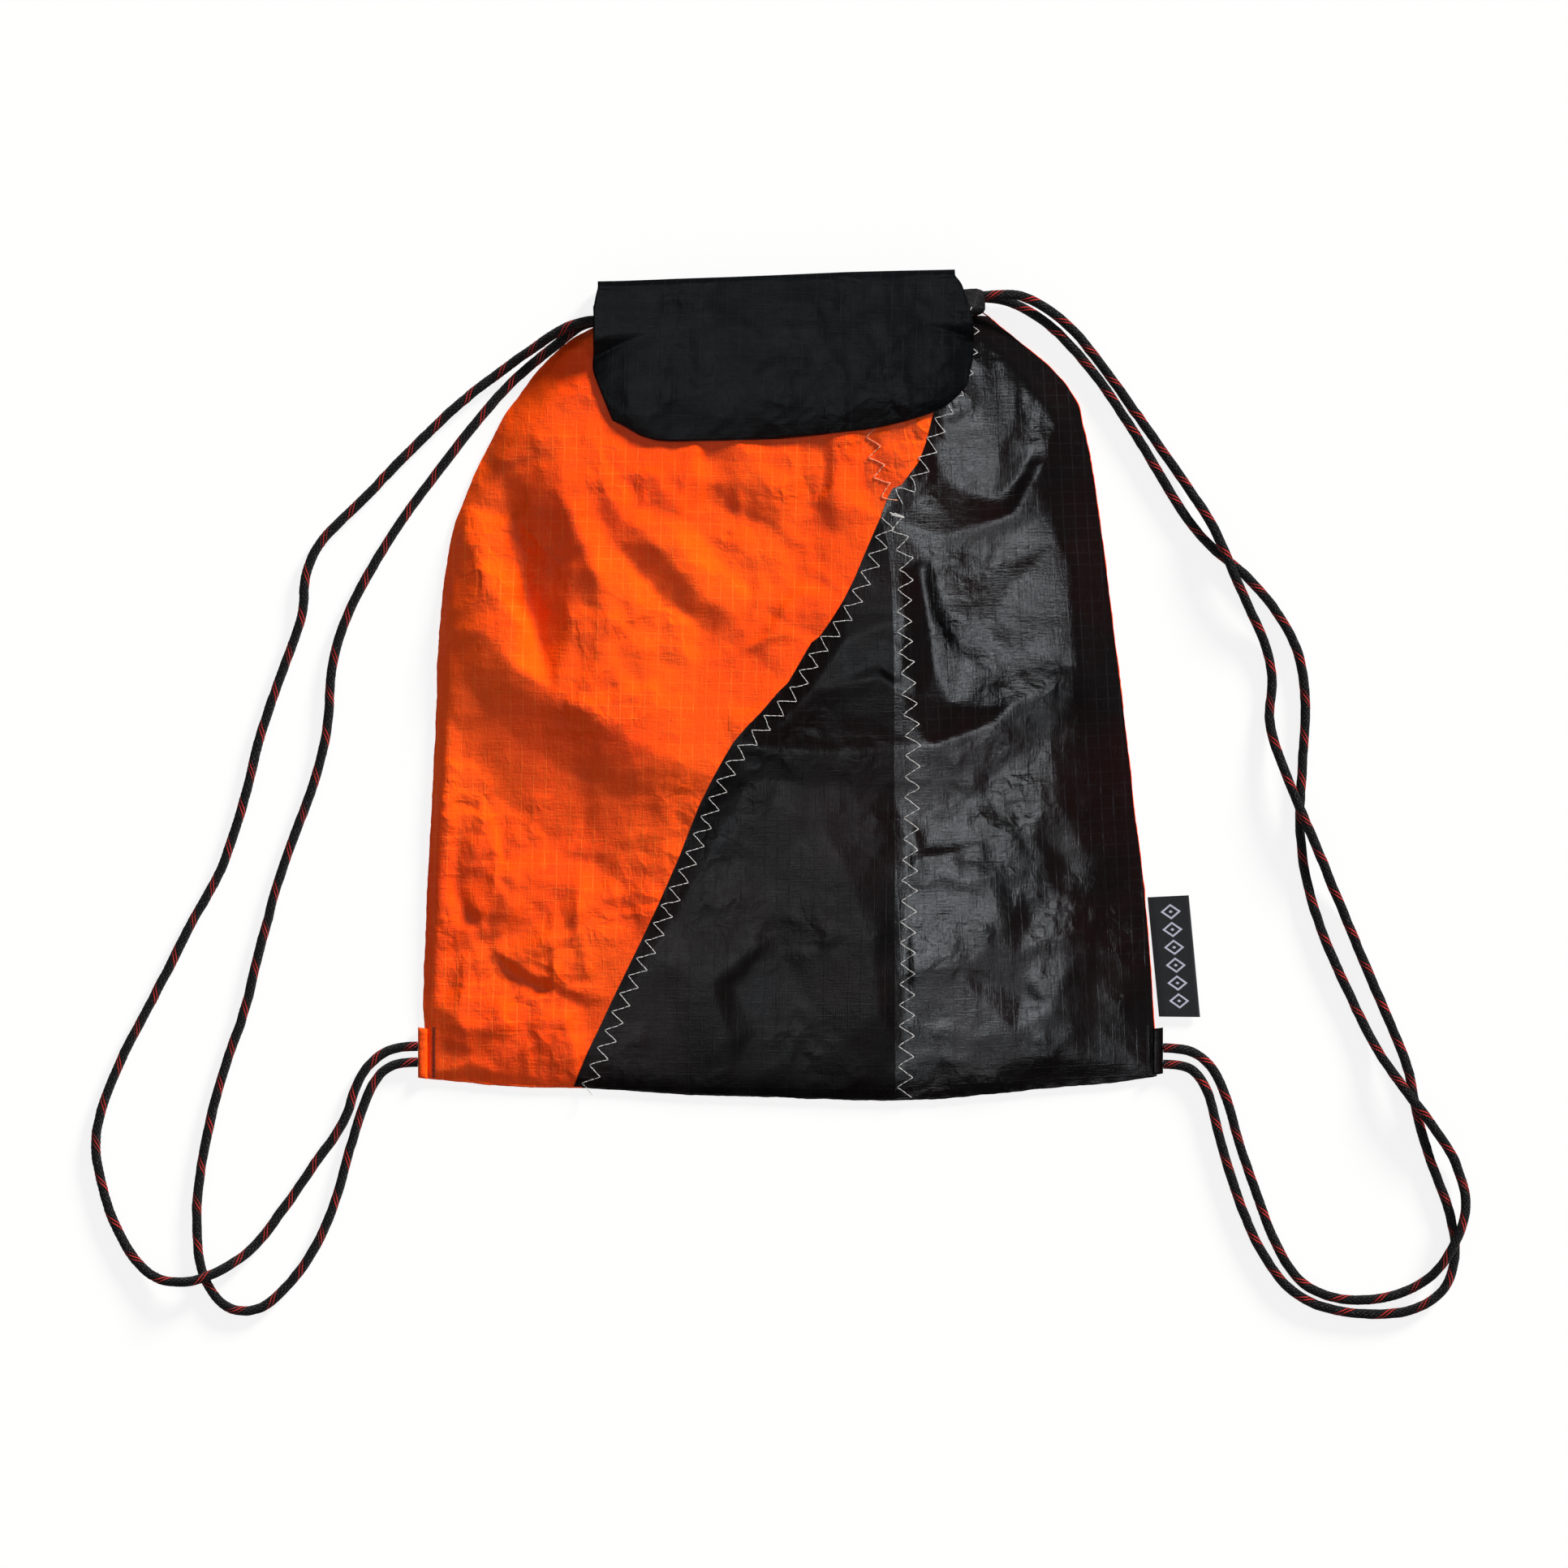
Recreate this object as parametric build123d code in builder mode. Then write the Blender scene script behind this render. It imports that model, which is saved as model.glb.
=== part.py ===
"""Flap-top drawstring backpack sewn from two colours of ripstop, lying on its back with the straps spread.

Units are millimetres. The origin is on the underside of the back panel, in its middle. +X is the wearer's-left side of
the front as it is looked at, +Y runs from the base to the mouth and +Z is up, out of the front panel.
"""

import math
import os

from build123d import *

os.makedirs("parts", exist_ok=True)

# ---------------------------------------------------------------- driving dimensions
cloth = 1.5  # stand-in thickness of a sewn cloth layer
cord_diameter = 4.8
cord_radius = cord_diameter / 2
pouch_height = 17.6  # top of the front above the surface the bag lies on
shoulder_height = 13.2  # where the sides turn into the nearly flat front
shoulder_inset = 13.0
crown_inset = 30.0
seam_allowance = 6.0

neck_angle = 1.91  # the mouth is a little skew to the base
neck_centre = (-1.45, 185.0)
casing_half_length = 96.0
casing_half_width = 6.7
casing_height = 7.2
casing_wall = 1.0
casing_leg = 12.5  # length of the turned-down ends that close the mouth's two corners
front_casing_z = 13.0
casing_split_z = 10.1
cord_lane = 2.8  # each casing carries two cords, one in each lane
exit_radius = 2.7

flap_hinge_y = 15.35
flap_riser_half = 0.75
flap_riser_low, flap_riser_high = 2.35, 20.3
riser_fold_z = 2.0
flap_fold_z = 21.7
lining_z, outer_z, flap_top_z = 20.6, 21.6, 22.8

label_z = 1.1
label_thickness = 1.0

thread_height = 0.5
thread_half = 0.45
zigzag_half_width = 4.1
zigzag_pitch = 10.3

# ---------------------------------------------------------------- outlines, seen from above
body_outline = [
    (-97.2, 218), (-97.2, 178.8), (-110.4, 162), (-132.4, 138), (-150.4, 108.8), (-168, 62),
    (-174, -2), (-178.4, -96), (-180.4, -154), (-180.4, -194.4), (-105.6, -197.2), (9.6, -202.8),
    (81.6, -202.4), (178.8, -192), (176, -130.8), (168, -58), (158, 29.2), (146.8, 112),
    (134.4, 149.2), (112, 169.2), (93.2, 182.8), (93.2, 224),
]

diagonal_seam_line = [
    (-110.4, -210.8), (-107.6, -197.2), (-88.4, -154.8), (-73.6, -124.4), (-57.6, -90), (-39.2, -46.4),
    (-28.8, -28), (-15.2, -13.2), (-2, 1.2), (9.6, 21.2), (25.6, 42.4), (34.8, 62.4),
    (43.2, 82), (50, 95.6), (62.4, 110), (69.2, 133.2), (75.6, 158), (85.6, 218),
]

upright_seam_line = [
    (50.8, -210.8), (50.4, -142), (50, -62), (50, 38), (48.8, 62), (43.2, 82),
    (36.8, 98), (33.6, 124), (27.6, 178), (25.6, 218),
]

flap_outline = [
    (-95.2, 198), (-82, 199.6), (-6.4, 202), (26.4, 203), (79.6, 204.6), (83, 197.6),
    (85.2, 189.6), (88, 181.2), (89.2, 173.2), (88.4, 160.8), (86, 148.4), (81.6, 142.8),
    (73.6, 136.4), (63.6, 132.4), (54, 129.6), (39.2, 126.4), (18, 124), (-6.4, 121.6),
    (-58.4, 120), (-66, 120.4), (-74, 122.8), (-82, 127.6), (-88, 130.4), (-92.8, 142),
    (-97.6, 154.4), (-97.2, 185.2),
]

diagonal_thread_line = [
    (-96.4, -193.2), (-83.6, -157.2), (-68.8, -126.8), (-52.8, -92.4), (-34.4, -48.8), (-24.4, -31.2),
    (-11.2, -16.8), (2, -2.4), (14, 18.4), (30, 39.6), (39.6, 60.4), (48, 82),
    (54.4, 95.6), (60.4, 102), (66.8, 114), (72.8, 133.2),
]

upright_thread_line = [
    (56, -198.8), (56.4, -162), (56.8, -122), (57.6, -94), (59.2, -29.2), (57.2, -1.6),
    (55.2, 21.2), (54.8, 39.6), (57.2, 56.8), (54, 70.4), (50, 83.6), (43.6, 98),
    (40.8, 110), (39.2, 126),
]

# the label stands out of the right side seam
label_outline = [(174.65, -104.0), (195.4, -103.2), (201.0, -163.2), (180.35, -163.2)]

# ---------------------------------------------------------------- cord routes
# Each cord starts in its own bottom corner, runs up to the mouth, right round through both casings and back to the
# same corner.
left_cord_route = [
    (-184.4, -177.6, 2.4), (-195.6, -177.6, 2.4), (-207.5, -184.8, 2.4), (-215.5, -197.5, 2.4),
    (-219.2, -213.2, 2.4), (-235.2, -235.6, 2.4), (-252, -260, 2.4), (-266.4, -278.8, 3),
    (-283.2, -289.2, 7.9), (-300, -294.4, 7.9), (-316.8, -291.2, 3), (-331.2, -272.4, 2.4),
    (-341.6, -242.8, 2.4), (-344, -217.2, 2.4), (-330, -182, 2.4), (-311.2, -147.6, 2.4),
    (-294, -113.2, 2.4), (-281.2, -92, 2.4), (-270, -58, 2.4), (-261.6, -22, 2.4),
    (-250.4, 8.8, 2.4), (-240.4, 35.2, 2.4), (-240.4, 53.2, 2.4), (-233.2, 71.2, 2.4),
    (-214.4, 88.4, 2.4), (-190.4, 113.6, 2.4), (-166.4, 137.2, 2.4), (-145.6, 153.2, 3),
    (-130.4, 163.6, 6.8), (-115.2, 174, 12.4), (-102.3, 178.84, 16.6), (90.79, 185.27, 16.6),
    (90.79, 185.27, 3.6), (-102.3, 178.84, 3.6), (-115.2, 168.4, 2.7), (-130.4, 156.8, 2.4),
    (-146, 141.6, 2.4), (-164, 119.2, 2.4), (-187.2, 88.8, 2.4), (-204.8, 62.4, 2.4),
    (-220.8, 32.8, 2.4), (-227.6, 6, 2.4), (-228.4, -20.8, 2.4), (-235.2, -48, 2.4),
    (-247.6, -79.6, 2.4), (-254.8, -102, 2.4), (-263.6, -134.8, 2.4), (-269.2, -160, 2.4),
    (-281.2, -192, 2.4), (-288, -220, 2.4), (-292.4, -244, 2.4), (-293.6, -270, 2.4),
    (-290.4, -292.4, 2.4), (-278.8, -307.6, 2.4), (-263.2, -308.4, 2.4), (-249.6, -297.2, 2.4),
    (-235.2, -278.8, 2.4), (-224.4, -253.2, 2.4), (-216.8, -224, 2.4), (-209.6, -202, 2.4),
    (-203.6, -191.2, 2.4), (-194.6, -185.4, 2.4), (-184.4, -185.4, 2.4),
]

right_cord_route = [
    (182.8, -186.4, 2.4), (192.4, -186.4, 2.4), (200.4, -191.4, 2.4), (206, -203, 2.4),
    (208.8, -216.4, 2.4), (216, -242.8, 2.4), (227.6, -273.6, 2.4), (242, -295.6, 2.4),
    (258.4, -306, 2.4), (281.6, -310, 2.4), (303.6, -308.8, 2.4), (320.8, -299.6, 2.4),
    (327.6, -282, 2.4), (324.8, -260.8, 2.4), (315.6, -238, 2.4), (307.6, -212, 2.4),
    (304, -189.2, 2.4), (294.8, -166.8, 2.4), (281.6, -136.4, 2.4), (270.4, -109.2, 2.6),
    (258, -80, 7.9), (242.4, -43.2, 7.9), (234, -19.2, 2.6), (237.2, 2.8, 2.4),
    (232.8, 22, 2.8), (221.6, 44.4, 7.9), (208, 77.2, 7.9), (196, 96, 3),
    (180.4, 118.4, 2.4), (163.2, 142.8, 2.4), (150.4, 160.8, 2.4), (138.8, 175.2, 3),
    (125.6, 185.6, 6.8), (112, 192, 12.4), (99.4, 191.16, 16.6), (-93.69, 184.73, 16.6),
    (-93.69, 184.73, 3.6), (99.4, 191.16, 3.6), (112, 187.2, 2.7), (124.8, 179.6, 2.4),
    (138.4, 166.8, 2.4), (156, 144.4, 2.4), (176.4, 112, 2.4), (192, 85.2, 2.4),
    (205.6, 68.4, 2.4), (222.4, 56, 2.4), (238.8, 37.2, 2.4), (250.4, 15.6, 2.4),
    (253.2, -9.2, 2.4), (251.6, -36, 2.4), (249.6, -62, 2.4), (251.2, -86.8, 2.4),
    (258, -114.8, 2.4), (272, -147.2, 2.4), (285.6, -175.6, 2.6), (298, -194.8, 7.9),
    (316.8, -218.4, 7.9), (328.4, -237.2, 3.4), (332.8, -258, 7.7), (322.4, -282.8, 7.9),
    (308, -296.4, 3), (289.6, -302.4, 2.4), (271.6, -302.8, 2.4), (255.6, -298, 2.4),
    (246.4, -289.6, 2.4), (237.6, -274.8, 2.4), (230, -254, 2.4), (221.6, -230, 2.4),
    (216.5, -212, 2.4), (211.5, -196, 2.4), (204.5, -184.6, 2.4), (194, -178.4, 2.4),
    (182.8, -178.4, 2.4),
]


# ---------------------------------------------------------------- helpers
def inset(points, distance):
    """The closed outline moved inwards by distance, with mitred corners. The outline runs anticlockwise."""
    moved = []
    n = len(points)
    for i in range(n):
        (ax, ay), (bx, by), (cx, cy) = points[i - 1], points[i], points[(i + 1) % n]
        ux, uy = bx - ax, by - ay
        vx, vy = cx - bx, cy - by
        lu, lv = math.hypot(ux, uy), math.hypot(vx, vy)
        nu, nv = (-uy / lu, ux / lu), (-vy / lv, vx / lv)
        sx, sy = nu[0] + nv[0], nu[1] + nv[1]
        k = 2 * distance / (sx * sx + sy * sy)
        moved.append((bx + sx * k, by + sy * k))
    return moved


def ribbon(points, half):
    """An open ribbon of constant half width along points, as one closed outline."""
    left, right = [], []
    n = len(points)
    for i in range(n):
        if i == 0:
            u = v = (points[1][0] - points[0][0], points[1][1] - points[0][1])
        elif i == n - 1:
            u = v = (points[-1][0] - points[-2][0], points[-1][1] - points[-2][1])
        else:
            u = (points[i][0] - points[i - 1][0], points[i][1] - points[i - 1][1])
            v = (points[i + 1][0] - points[i][0], points[i + 1][1] - points[i][1])
        lu, lv = math.hypot(*u), math.hypot(*v)
        nu, nv = (-u[1] / lu, u[0] / lu), (-v[1] / lv, v[0] / lv)
        sx, sy = nu[0] + nv[0], nu[1] + nv[1]
        k = 2 * half / (sx * sx + sy * sy)
        left.append((points[i][0] + sx * k, points[i][1] + sy * k))
        right.append((points[i][0] - sx * k, points[i][1] - sy * k))
    return left + right[::-1]


def zigzag(line, half_width, pitch):
    """A zigzag that crosses line from side to side, two points for each pitch."""
    lengths = [math.dist(a, b) for a, b in zip(line, line[1:])]
    total = sum(lengths)
    steps = int(total / (pitch / 2))
    found = []
    for k in range(steps + 1):
        s = total * k / steps
        i = 0
        while i < len(lengths) - 1 and s > lengths[i]:
            s -= lengths[i]
            i += 1
        (ax, ay), (bx, by) = line[i], line[i + 1]
        t = s / lengths[i]
        dx, dy = (bx - ax) / lengths[i], (by - ay) / lengths[i]
        side = half_width if k % 2 else -half_width
        found.append((ax + (bx - ax) * t - dy * side, ay + (by - ay) * t + dx * side))
    return found


def neck_point(x, y, z=0.0):
    """A point given along and across the mouth, in the bag's frame."""
    a = math.radians(neck_angle)
    return (
        neck_centre[0] + x * math.cos(a) - y * math.sin(a),
        neck_centre[1] + x * math.sin(a) + y * math.cos(a),
        z,
    )


along = (math.cos(math.radians(neck_angle)), math.sin(math.radians(neck_angle)), 0)
across = (-along[1], along[0], 0)
back_across = (along[1], -along[0], 0)


def neck_plan(z):
    """A level plane whose x runs along the mouth."""
    return Plane(origin=neck_point(0, 0, z), x_dir=along, z_dir=(0, 0, 1))


def neck_section(y):
    """An upright plane along the mouth at y across it. Its y is up and extrusions run towards the base."""
    return Plane(origin=neck_point(0, y, 0), x_dir=along, z_dir=back_across)


def corner_radii(route, share=0.45):
    """As large an arc at each corner as its two runs allow."""
    radii = []
    for a, b, c in zip(route, route[1:], route[2:]):
        into, out = Vector(*b) - Vector(*a), Vector(*c) - Vector(*b)
        turn = math.radians(into.get_angle(out))
        radii.append(share * min(into.length, out.length) / math.tan(turn / 2))
    return radii


outer_levels = ((0.0, cloth), (shoulder_inset, shoulder_height), (crown_inset, pouch_height))
inner_levels = ((2.2, cloth), (shoulder_inset + 1.0, 11.8), (crown_inset + 0.4, pouch_height - cloth))
skin_levels = ((-0.7, cloth), (shoulder_inset - 0.4, shoulder_height + 0.45), (crown_inset - 0.1, pouch_height + thread_height))

# ---------------------------------------------------------------- the pouch
# the puffed front before it is cut into panels, with the mouth end left open
def puffed(levels):
    """A closed flat-faced solid through the outline moved in by each distance, at each height."""
    rings = [[(x, y, level) for x, y in inset(body_outline, distance)] for distance, level in levels]
    faces = [Face(Wire.make_polygon(rings[0][::-1], close=True)), Face(Wire.make_polygon(rings[-1], close=True))]
    for low, high in zip(rings, rings[1:]):
        for i in range(len(low)):
            j = (i + 1) % len(low)
            faces.append(Face(Wire.make_polygon([low[i], low[j], high[j], high[i]], close=True)))
    return Solid(Shell(faces))


front_outside = puffed(outer_levels)
front_inside = puffed(inner_levels)
thread_outside = puffed(skin_levels)

with BuildPart() as front_shell:
    add(front_outside)
    add(front_inside, mode=Mode.SUBTRACT)
    with BuildSketch(neck_plan(-5)):
        with Locations((0, 60 - casing_half_width)):
            Rectangle(300, 120)
    extrude(amount=60, mode=Mode.SUBTRACT)

with BuildPart() as thread_skin:
    add(thread_outside)
    add(front_outside, mode=Mode.SUBTRACT)
    with BuildSketch(neck_plan(-5)):
        with Locations((0, 60 - casing_half_width)):
            Rectangle(300, 120)
    extrude(amount=60, mode=Mode.SUBTRACT)

far_left, far_right, far_low, far_high = -260.0, 260.0, -260.0, 260.0
diagonal_cross = diagonal_seam_line.index((43.2, 82))
upright_cross = upright_seam_line.index((43.2, 82))
diagonal_low, diagonal_high = diagonal_seam_line[: diagonal_cross + 1], diagonal_seam_line[diagonal_cross:]
upright_low, upright_high = upright_seam_line[: upright_cross + 1], upright_seam_line[upright_cross:]

# where each panel lies, as outlines that meet along the seams
large_orange_region = diagonal_low + upright_high[1:] + [(upright_high[-1][0], far_high), (far_left, far_high), (far_left, far_low), (diagonal_low[0][0], far_low)]
orange_tip_region = diagonal_high + [(diagonal_high[-1][0], far_high), (upright_high[-1][0], far_high)] + upright_high[::-1][:-1]
centre_black_region = upright_low + diagonal_low[::-1][1:] + [(diagonal_low[0][0], far_low), (upright_low[0][0], far_low)]
side_black_region = upright_low[::-1] + [(upright_low[0][0], far_low), (far_right, far_low), (far_right, far_high), (diagonal_high[-1][0], far_high)] + diagonal_high[::-1][:-1]

with BuildPart() as front_orange_panel:
    add(front_shell.part)
    with BuildSketch(Plane.XY.offset(-5)):
        with BuildLine():
            Polyline(*large_orange_region, close=True)
        make_face()
    extrude(amount=60, mode=Mode.INTERSECT)

with BuildPart() as front_orange_tip_panel:
    add(front_shell.part)
    with BuildSketch(Plane.XY.offset(-5)):
        with BuildLine():
            Polyline(*orange_tip_region, close=True)
        make_face()
    extrude(amount=60, mode=Mode.INTERSECT)

with BuildPart() as front_black_centre_panel:
    add(front_shell.part)
    with BuildSketch(Plane.XY.offset(-5)):
        with BuildLine():
            Polyline(*centre_black_region, close=True)
        make_face()
    extrude(amount=60, mode=Mode.INTERSECT)

with BuildPart() as front_black_side_panel:
    add(front_shell.part)
    with BuildSketch(Plane.XY.offset(-5)):
        with BuildLine():
            Polyline(*side_black_region, close=True)
        make_face()
    extrude(amount=60, mode=Mode.INTERSECT)

with BuildPart() as back_panel:
    with BuildSketch(Plane.XY):
        with BuildLine():
            Polyline(*body_outline, close=True)
        make_face()
    extrude(amount=cloth)
    with BuildSketch(neck_plan(-5)):
        with Locations((0, 60 - casing_half_width)):
            Rectangle(300, 120)
    extrude(amount=60, mode=Mode.SUBTRACT)

# the seam allowances, turned to the inside and lying on the back panel along three sides
seam_outer = inset(body_outline, 3.6)
seam_inner = inset(body_outline, 3.6 + seam_allowance)
left_corner, right_corner = 9, 13


def strip(first, last):
    return seam_outer[first : last + 1] + seam_inner[first : last + 1][::-1]


with BuildPart() as left_side_seam:
    with BuildSketch(Plane.XY.offset(cloth)):
        with BuildLine():
            Polyline(*strip(2, left_corner), close=True)
        make_face()
    extrude(amount=1.0)

with BuildPart() as bottom_seam:
    with BuildSketch(Plane.XY.offset(cloth)):
        with BuildLine():
            Polyline(*strip(left_corner, right_corner), close=True)
        make_face()
    extrude(amount=1.0)

with BuildPart() as right_side_seam:
    with BuildSketch(Plane.XY.offset(cloth)):
        with BuildLine():
            Polyline(*strip(right_corner, 19), close=True)
        make_face()
    extrude(amount=1.0)

# ---------------------------------------------------------------- the corner tabs that hold the cord ends
with BuildPart() as left_corner_tab:
    with BuildSketch(Plane.XY):
        with BuildLine():
            Polyline((-184.4, -192.5), (-180.4, -193.5), (-180.4, -168.5), (-184.4, -169.5), close=True)
        make_face()
    extrude(amount=5.0)

with BuildPart() as right_corner_tab:
    with BuildSketch(Plane.XY):
        with BuildLine():
            Polyline((178.78, -191.5), (182.8, -190.5), (182.8, -169.5), (177.73, -168.5), close=True)
        make_face()
    extrude(amount=5.0)

with BuildPart() as left_corner_bartack:
    add(thread_skin.part)
    with BuildSketch(Plane.XY.offset(-5)):
        with BuildLine():
            Polyline((-177.6, -187.5), (-175.6, -187.5), (-175.2, -165.5), (-177.2, -165.5), close=True)
        make_face()
    extrude(amount=60, mode=Mode.INTERSECT)

with BuildPart() as right_corner_bartack:
    add(thread_skin.part)
    with BuildSketch(Plane.XY.offset(-5)):
        with BuildLine():
            Polyline((174.2, -186.0), (176.2, -186.0), (176.2, -166.0), (174.2, -166.0), close=True)
        make_face()
    extrude(amount=60, mode=Mode.INTERSECT)

# ---------------------------------------------------------------- drawstring casings
h, leg, wall = casing_half_length, casing_leg, casing_wall
front_top = front_casing_z + casing_height

with BuildPart() as front_casing:
    with BuildSketch(neck_section(casing_half_width)):
        with BuildLine():
            Polyline(
                (-h, casing_split_z), (-h + leg, casing_split_z), (-h + leg, front_casing_z), (h - leg, front_casing_z),
                (h - leg, casing_split_z), (h, casing_split_z), (h, front_top), (-h, front_top), close=True,
            )
        make_face()
    extrude(amount=2 * casing_half_width)
    with BuildSketch(neck_section(casing_half_width - wall)):
        with BuildLine():
            Polyline(
                (-h + wall, casing_split_z - 1), (-h + leg - wall, casing_split_z - 1), (-h + leg - wall, front_casing_z + wall),
                (h - leg + wall, front_casing_z + wall), (h - leg + wall, casing_split_z - 1), (h - wall, casing_split_z - 1),
                (h - wall, front_top - wall), (-h + wall, front_top - wall), close=True,
            )
        make_face()
    extrude(amount=2 * (casing_half_width - wall), mode=Mode.SUBTRACT)
    # the left cord leaves at the left end and the right cord at the right end
    with BuildSketch(Plane(origin=neck_point(h + 1, cord_lane, front_casing_z + casing_height / 2), x_dir=across, z_dir=(-along[0], -along[1], 0))):
        Circle(exit_radius)
    extrude(amount=3, mode=Mode.SUBTRACT)
    with BuildSketch(Plane(origin=neck_point(-h - 1, -cord_lane, front_casing_z + casing_height / 2), x_dir=across, z_dir=along)):
        Circle(exit_radius)
    extrude(amount=3, mode=Mode.SUBTRACT)

with BuildPart() as back_casing:
    with BuildSketch(neck_section(casing_half_width)):
        with BuildLine():
            Polyline(
                (-h, 0), (h, 0), (h, casing_split_z), (h - leg, casing_split_z), (h - leg, casing_height),
                (-h + leg, casing_height), (-h + leg, casing_split_z), (-h, casing_split_z), close=True,
            )
        make_face()
    extrude(amount=2 * casing_half_width)
    with BuildSketch(neck_section(casing_half_width - wall)):
        with BuildLine():
            Polyline(
                (-h + wall, wall), (h - wall, wall), (h - wall, casing_split_z + 1), (h - leg + wall, casing_split_z + 1),
                (h - leg + wall, casing_height - wall), (-h + leg - wall, casing_height - wall), (-h + leg - wall, casing_split_z + 1),
                (-h + wall, casing_split_z + 1), close=True,
            )
        make_face()
    extrude(amount=2 * (casing_half_width - wall), mode=Mode.SUBTRACT)
    with BuildSketch(Plane(origin=neck_point(h + 1, cord_lane, casing_height / 2), x_dir=across, z_dir=(-along[0], -along[1], 0))):
        Circle(exit_radius)
    extrude(amount=3, mode=Mode.SUBTRACT)
    with BuildSketch(Plane(origin=neck_point(-h - 1, -cord_lane, casing_height / 2), x_dir=across, z_dir=along)):
        Circle(exit_radius)
    extrude(amount=3, mode=Mode.SUBTRACT)

# the row of stitches that closes each casing, near its lower edge
with BuildPart() as front_casing_stitching:
    with BuildSketch(neck_plan(front_top)):
        with Locations((0, -casing_half_width + 0.9)):
            with GridLocations(5.0, 1, 37, 1):
                Rectangle(3.2, 0.7)
    extrude(amount=0.3)

with BuildPart() as back_casing_stitching:
    with BuildSketch(neck_plan(casing_height)):
        with Locations((0, -casing_half_width + 0.9)):
            with GridLocations(5.0, 1, 32, 1):
                Rectangle(3.2, 0.7)
    extrude(amount=0.3)

# ---------------------------------------------------------------- flap
with BuildPart() as flap_root_band:
    with BuildSketch(neck_plan(0)):
        with Locations((-4.5, (casing_half_width + 14.0) / 2)):
            Rectangle(177, 14.0 - casing_half_width)
    extrude(amount=cloth)

with BuildPart() as flap_riser:
    with BuildSketch(neck_plan(flap_riser_low)):
        with Locations((-4.5, flap_hinge_y)):
            Rectangle(177, 2 * flap_riser_half)
    extrude(amount=flap_riser_high - flap_riser_low)

with BuildPart() as flap_outer:
    with BuildSketch(Plane.XY.offset(outer_z)):
        with BuildLine():
            Polyline(*flap_outline, close=True)
        make_face()
    extrude(amount=flap_top_z - outer_z)
    with BuildSketch(neck_plan(-5)):
        with Locations((0, 40 + flap_hinge_y - 1.05)):
            Rectangle(300, 80)
    extrude(amount=60, mode=Mode.SUBTRACT)

with BuildPart() as flap_lining:
    with BuildSketch(Plane.XY.offset(lining_z)):
        with BuildLine():
            Polyline(*inset(flap_outline[::-1], -0.8), close=True)
        make_face()
    extrude(amount=outer_z - lining_z)
    with BuildSketch(neck_plan(-5)):
        with Locations((0, 40 + flap_hinge_y - 1.05)):
            Rectangle(300, 80)
    extrude(amount=60, mode=Mode.SUBTRACT)

# short overcast stitches round the right edge of the flap
with BuildPart() as flap_edge_stitching:
    with BuildSketch(Plane.XY.offset(flap_top_z)):
        for x, y in ((82.6, 193.6), (84.4, 188.2), (86.0, 182.8), (87.2, 177.4), (87.4, 172.0), (87.0, 166.6), (86.2, 161.2), (85.4, 155.8), (83.8, 150.4)):
            with Locations((x - 1.4, y)):
                Rectangle(3.0, 0.7)
    extrude(amount=0.3)

# ---------------------------------------------------------------- label in the side seam
with BuildPart() as side_label:
    with BuildSketch(Plane.XY.offset(label_z)):
        with BuildLine():
            Polyline(*label_outline, close=True)
        make_face()
    extrude(amount=label_thickness)

# ---------------------------------------------------------------- zigzag topstitching that flattens the front seams
with BuildPart() as diagonal_seam_thread:
    add(thread_skin.part)
    with BuildSketch(Plane.XY.offset(-5)):
        with BuildLine():
            Polyline(*ribbon(zigzag(diagonal_thread_line, zigzag_half_width, 9.6), thread_half), close=True)
        make_face()
    extrude(amount=60, mode=Mode.INTERSECT)

with BuildPart() as upright_seam_thread:
    add(thread_skin.part)
    with BuildSketch(Plane.XY.offset(-5)):
        with BuildLine():
            Polyline(*ribbon(zigzag(upright_thread_line, zigzag_half_width, zigzag_pitch), thread_half), close=True)
        make_face()
    extrude(amount=60, mode=Mode.INTERSECT)
    add(diagonal_seam_thread.part, mode=Mode.SUBTRACT)

# ---------------------------------------------------------------- cords
left_radii = corner_radii(left_cord_route)
right_radii = corner_radii(right_cord_route)
print("left cord radii", [round(r, 1) for r in left_radii])
print("right cord radii", [round(r, 1) for r in right_radii])

with BuildPart() as left_cord:
    with BuildLine() as left_path:
        FilletPolyline(*left_cord_route, radius=left_radii)
    with BuildSketch(Plane(origin=left_path.line @ 0, z_dir=left_path.line % 0)):
        Circle(cord_radius)
    sweep()

with BuildPart() as right_cord:
    with BuildLine() as right_path:
        FilletPolyline(*right_cord_route, radius=right_radii)
    with BuildSketch(Plane(origin=right_path.line @ 0, z_dir=right_path.line % 0)):
        Circle(cord_radius)
    sweep()

section = math.pi * cord_radius**2
for name, cord, path in (("left", left_cord, left_path), ("right", right_cord, right_path)):
    length = sum(edge.length for edge in path.edges())
    print(f"{name} cord length {length:.1f} volume {cord.part.volume:.0f} section x length {section * length:.0f}")

# ---------------------------------------------------------------- labels and files
back_panel.part.label = "back_panel"
export_step(back_panel.part, "parts/back_panel.step")
front_orange_panel.part.label = "front_orange_panel"
export_step(front_orange_panel.part, "parts/front_orange_panel.step")
front_orange_tip_panel.part.label = "front_orange_tip_panel"
export_step(front_orange_tip_panel.part, "parts/front_orange_tip_panel.step")
front_black_centre_panel.part.label = "front_black_centre_panel"
export_step(front_black_centre_panel.part, "parts/front_black_centre_panel.step")
front_black_side_panel.part.label = "front_black_side_panel"
export_step(front_black_side_panel.part, "parts/front_black_side_panel.step")
left_side_seam.part.label = "left_side_seam"
export_step(left_side_seam.part, "parts/left_side_seam.step")
right_side_seam.part.label = "right_side_seam"
export_step(right_side_seam.part, "parts/right_side_seam.step")
bottom_seam.part.label = "bottom_seam"
export_step(bottom_seam.part, "parts/bottom_seam.step")
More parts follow.
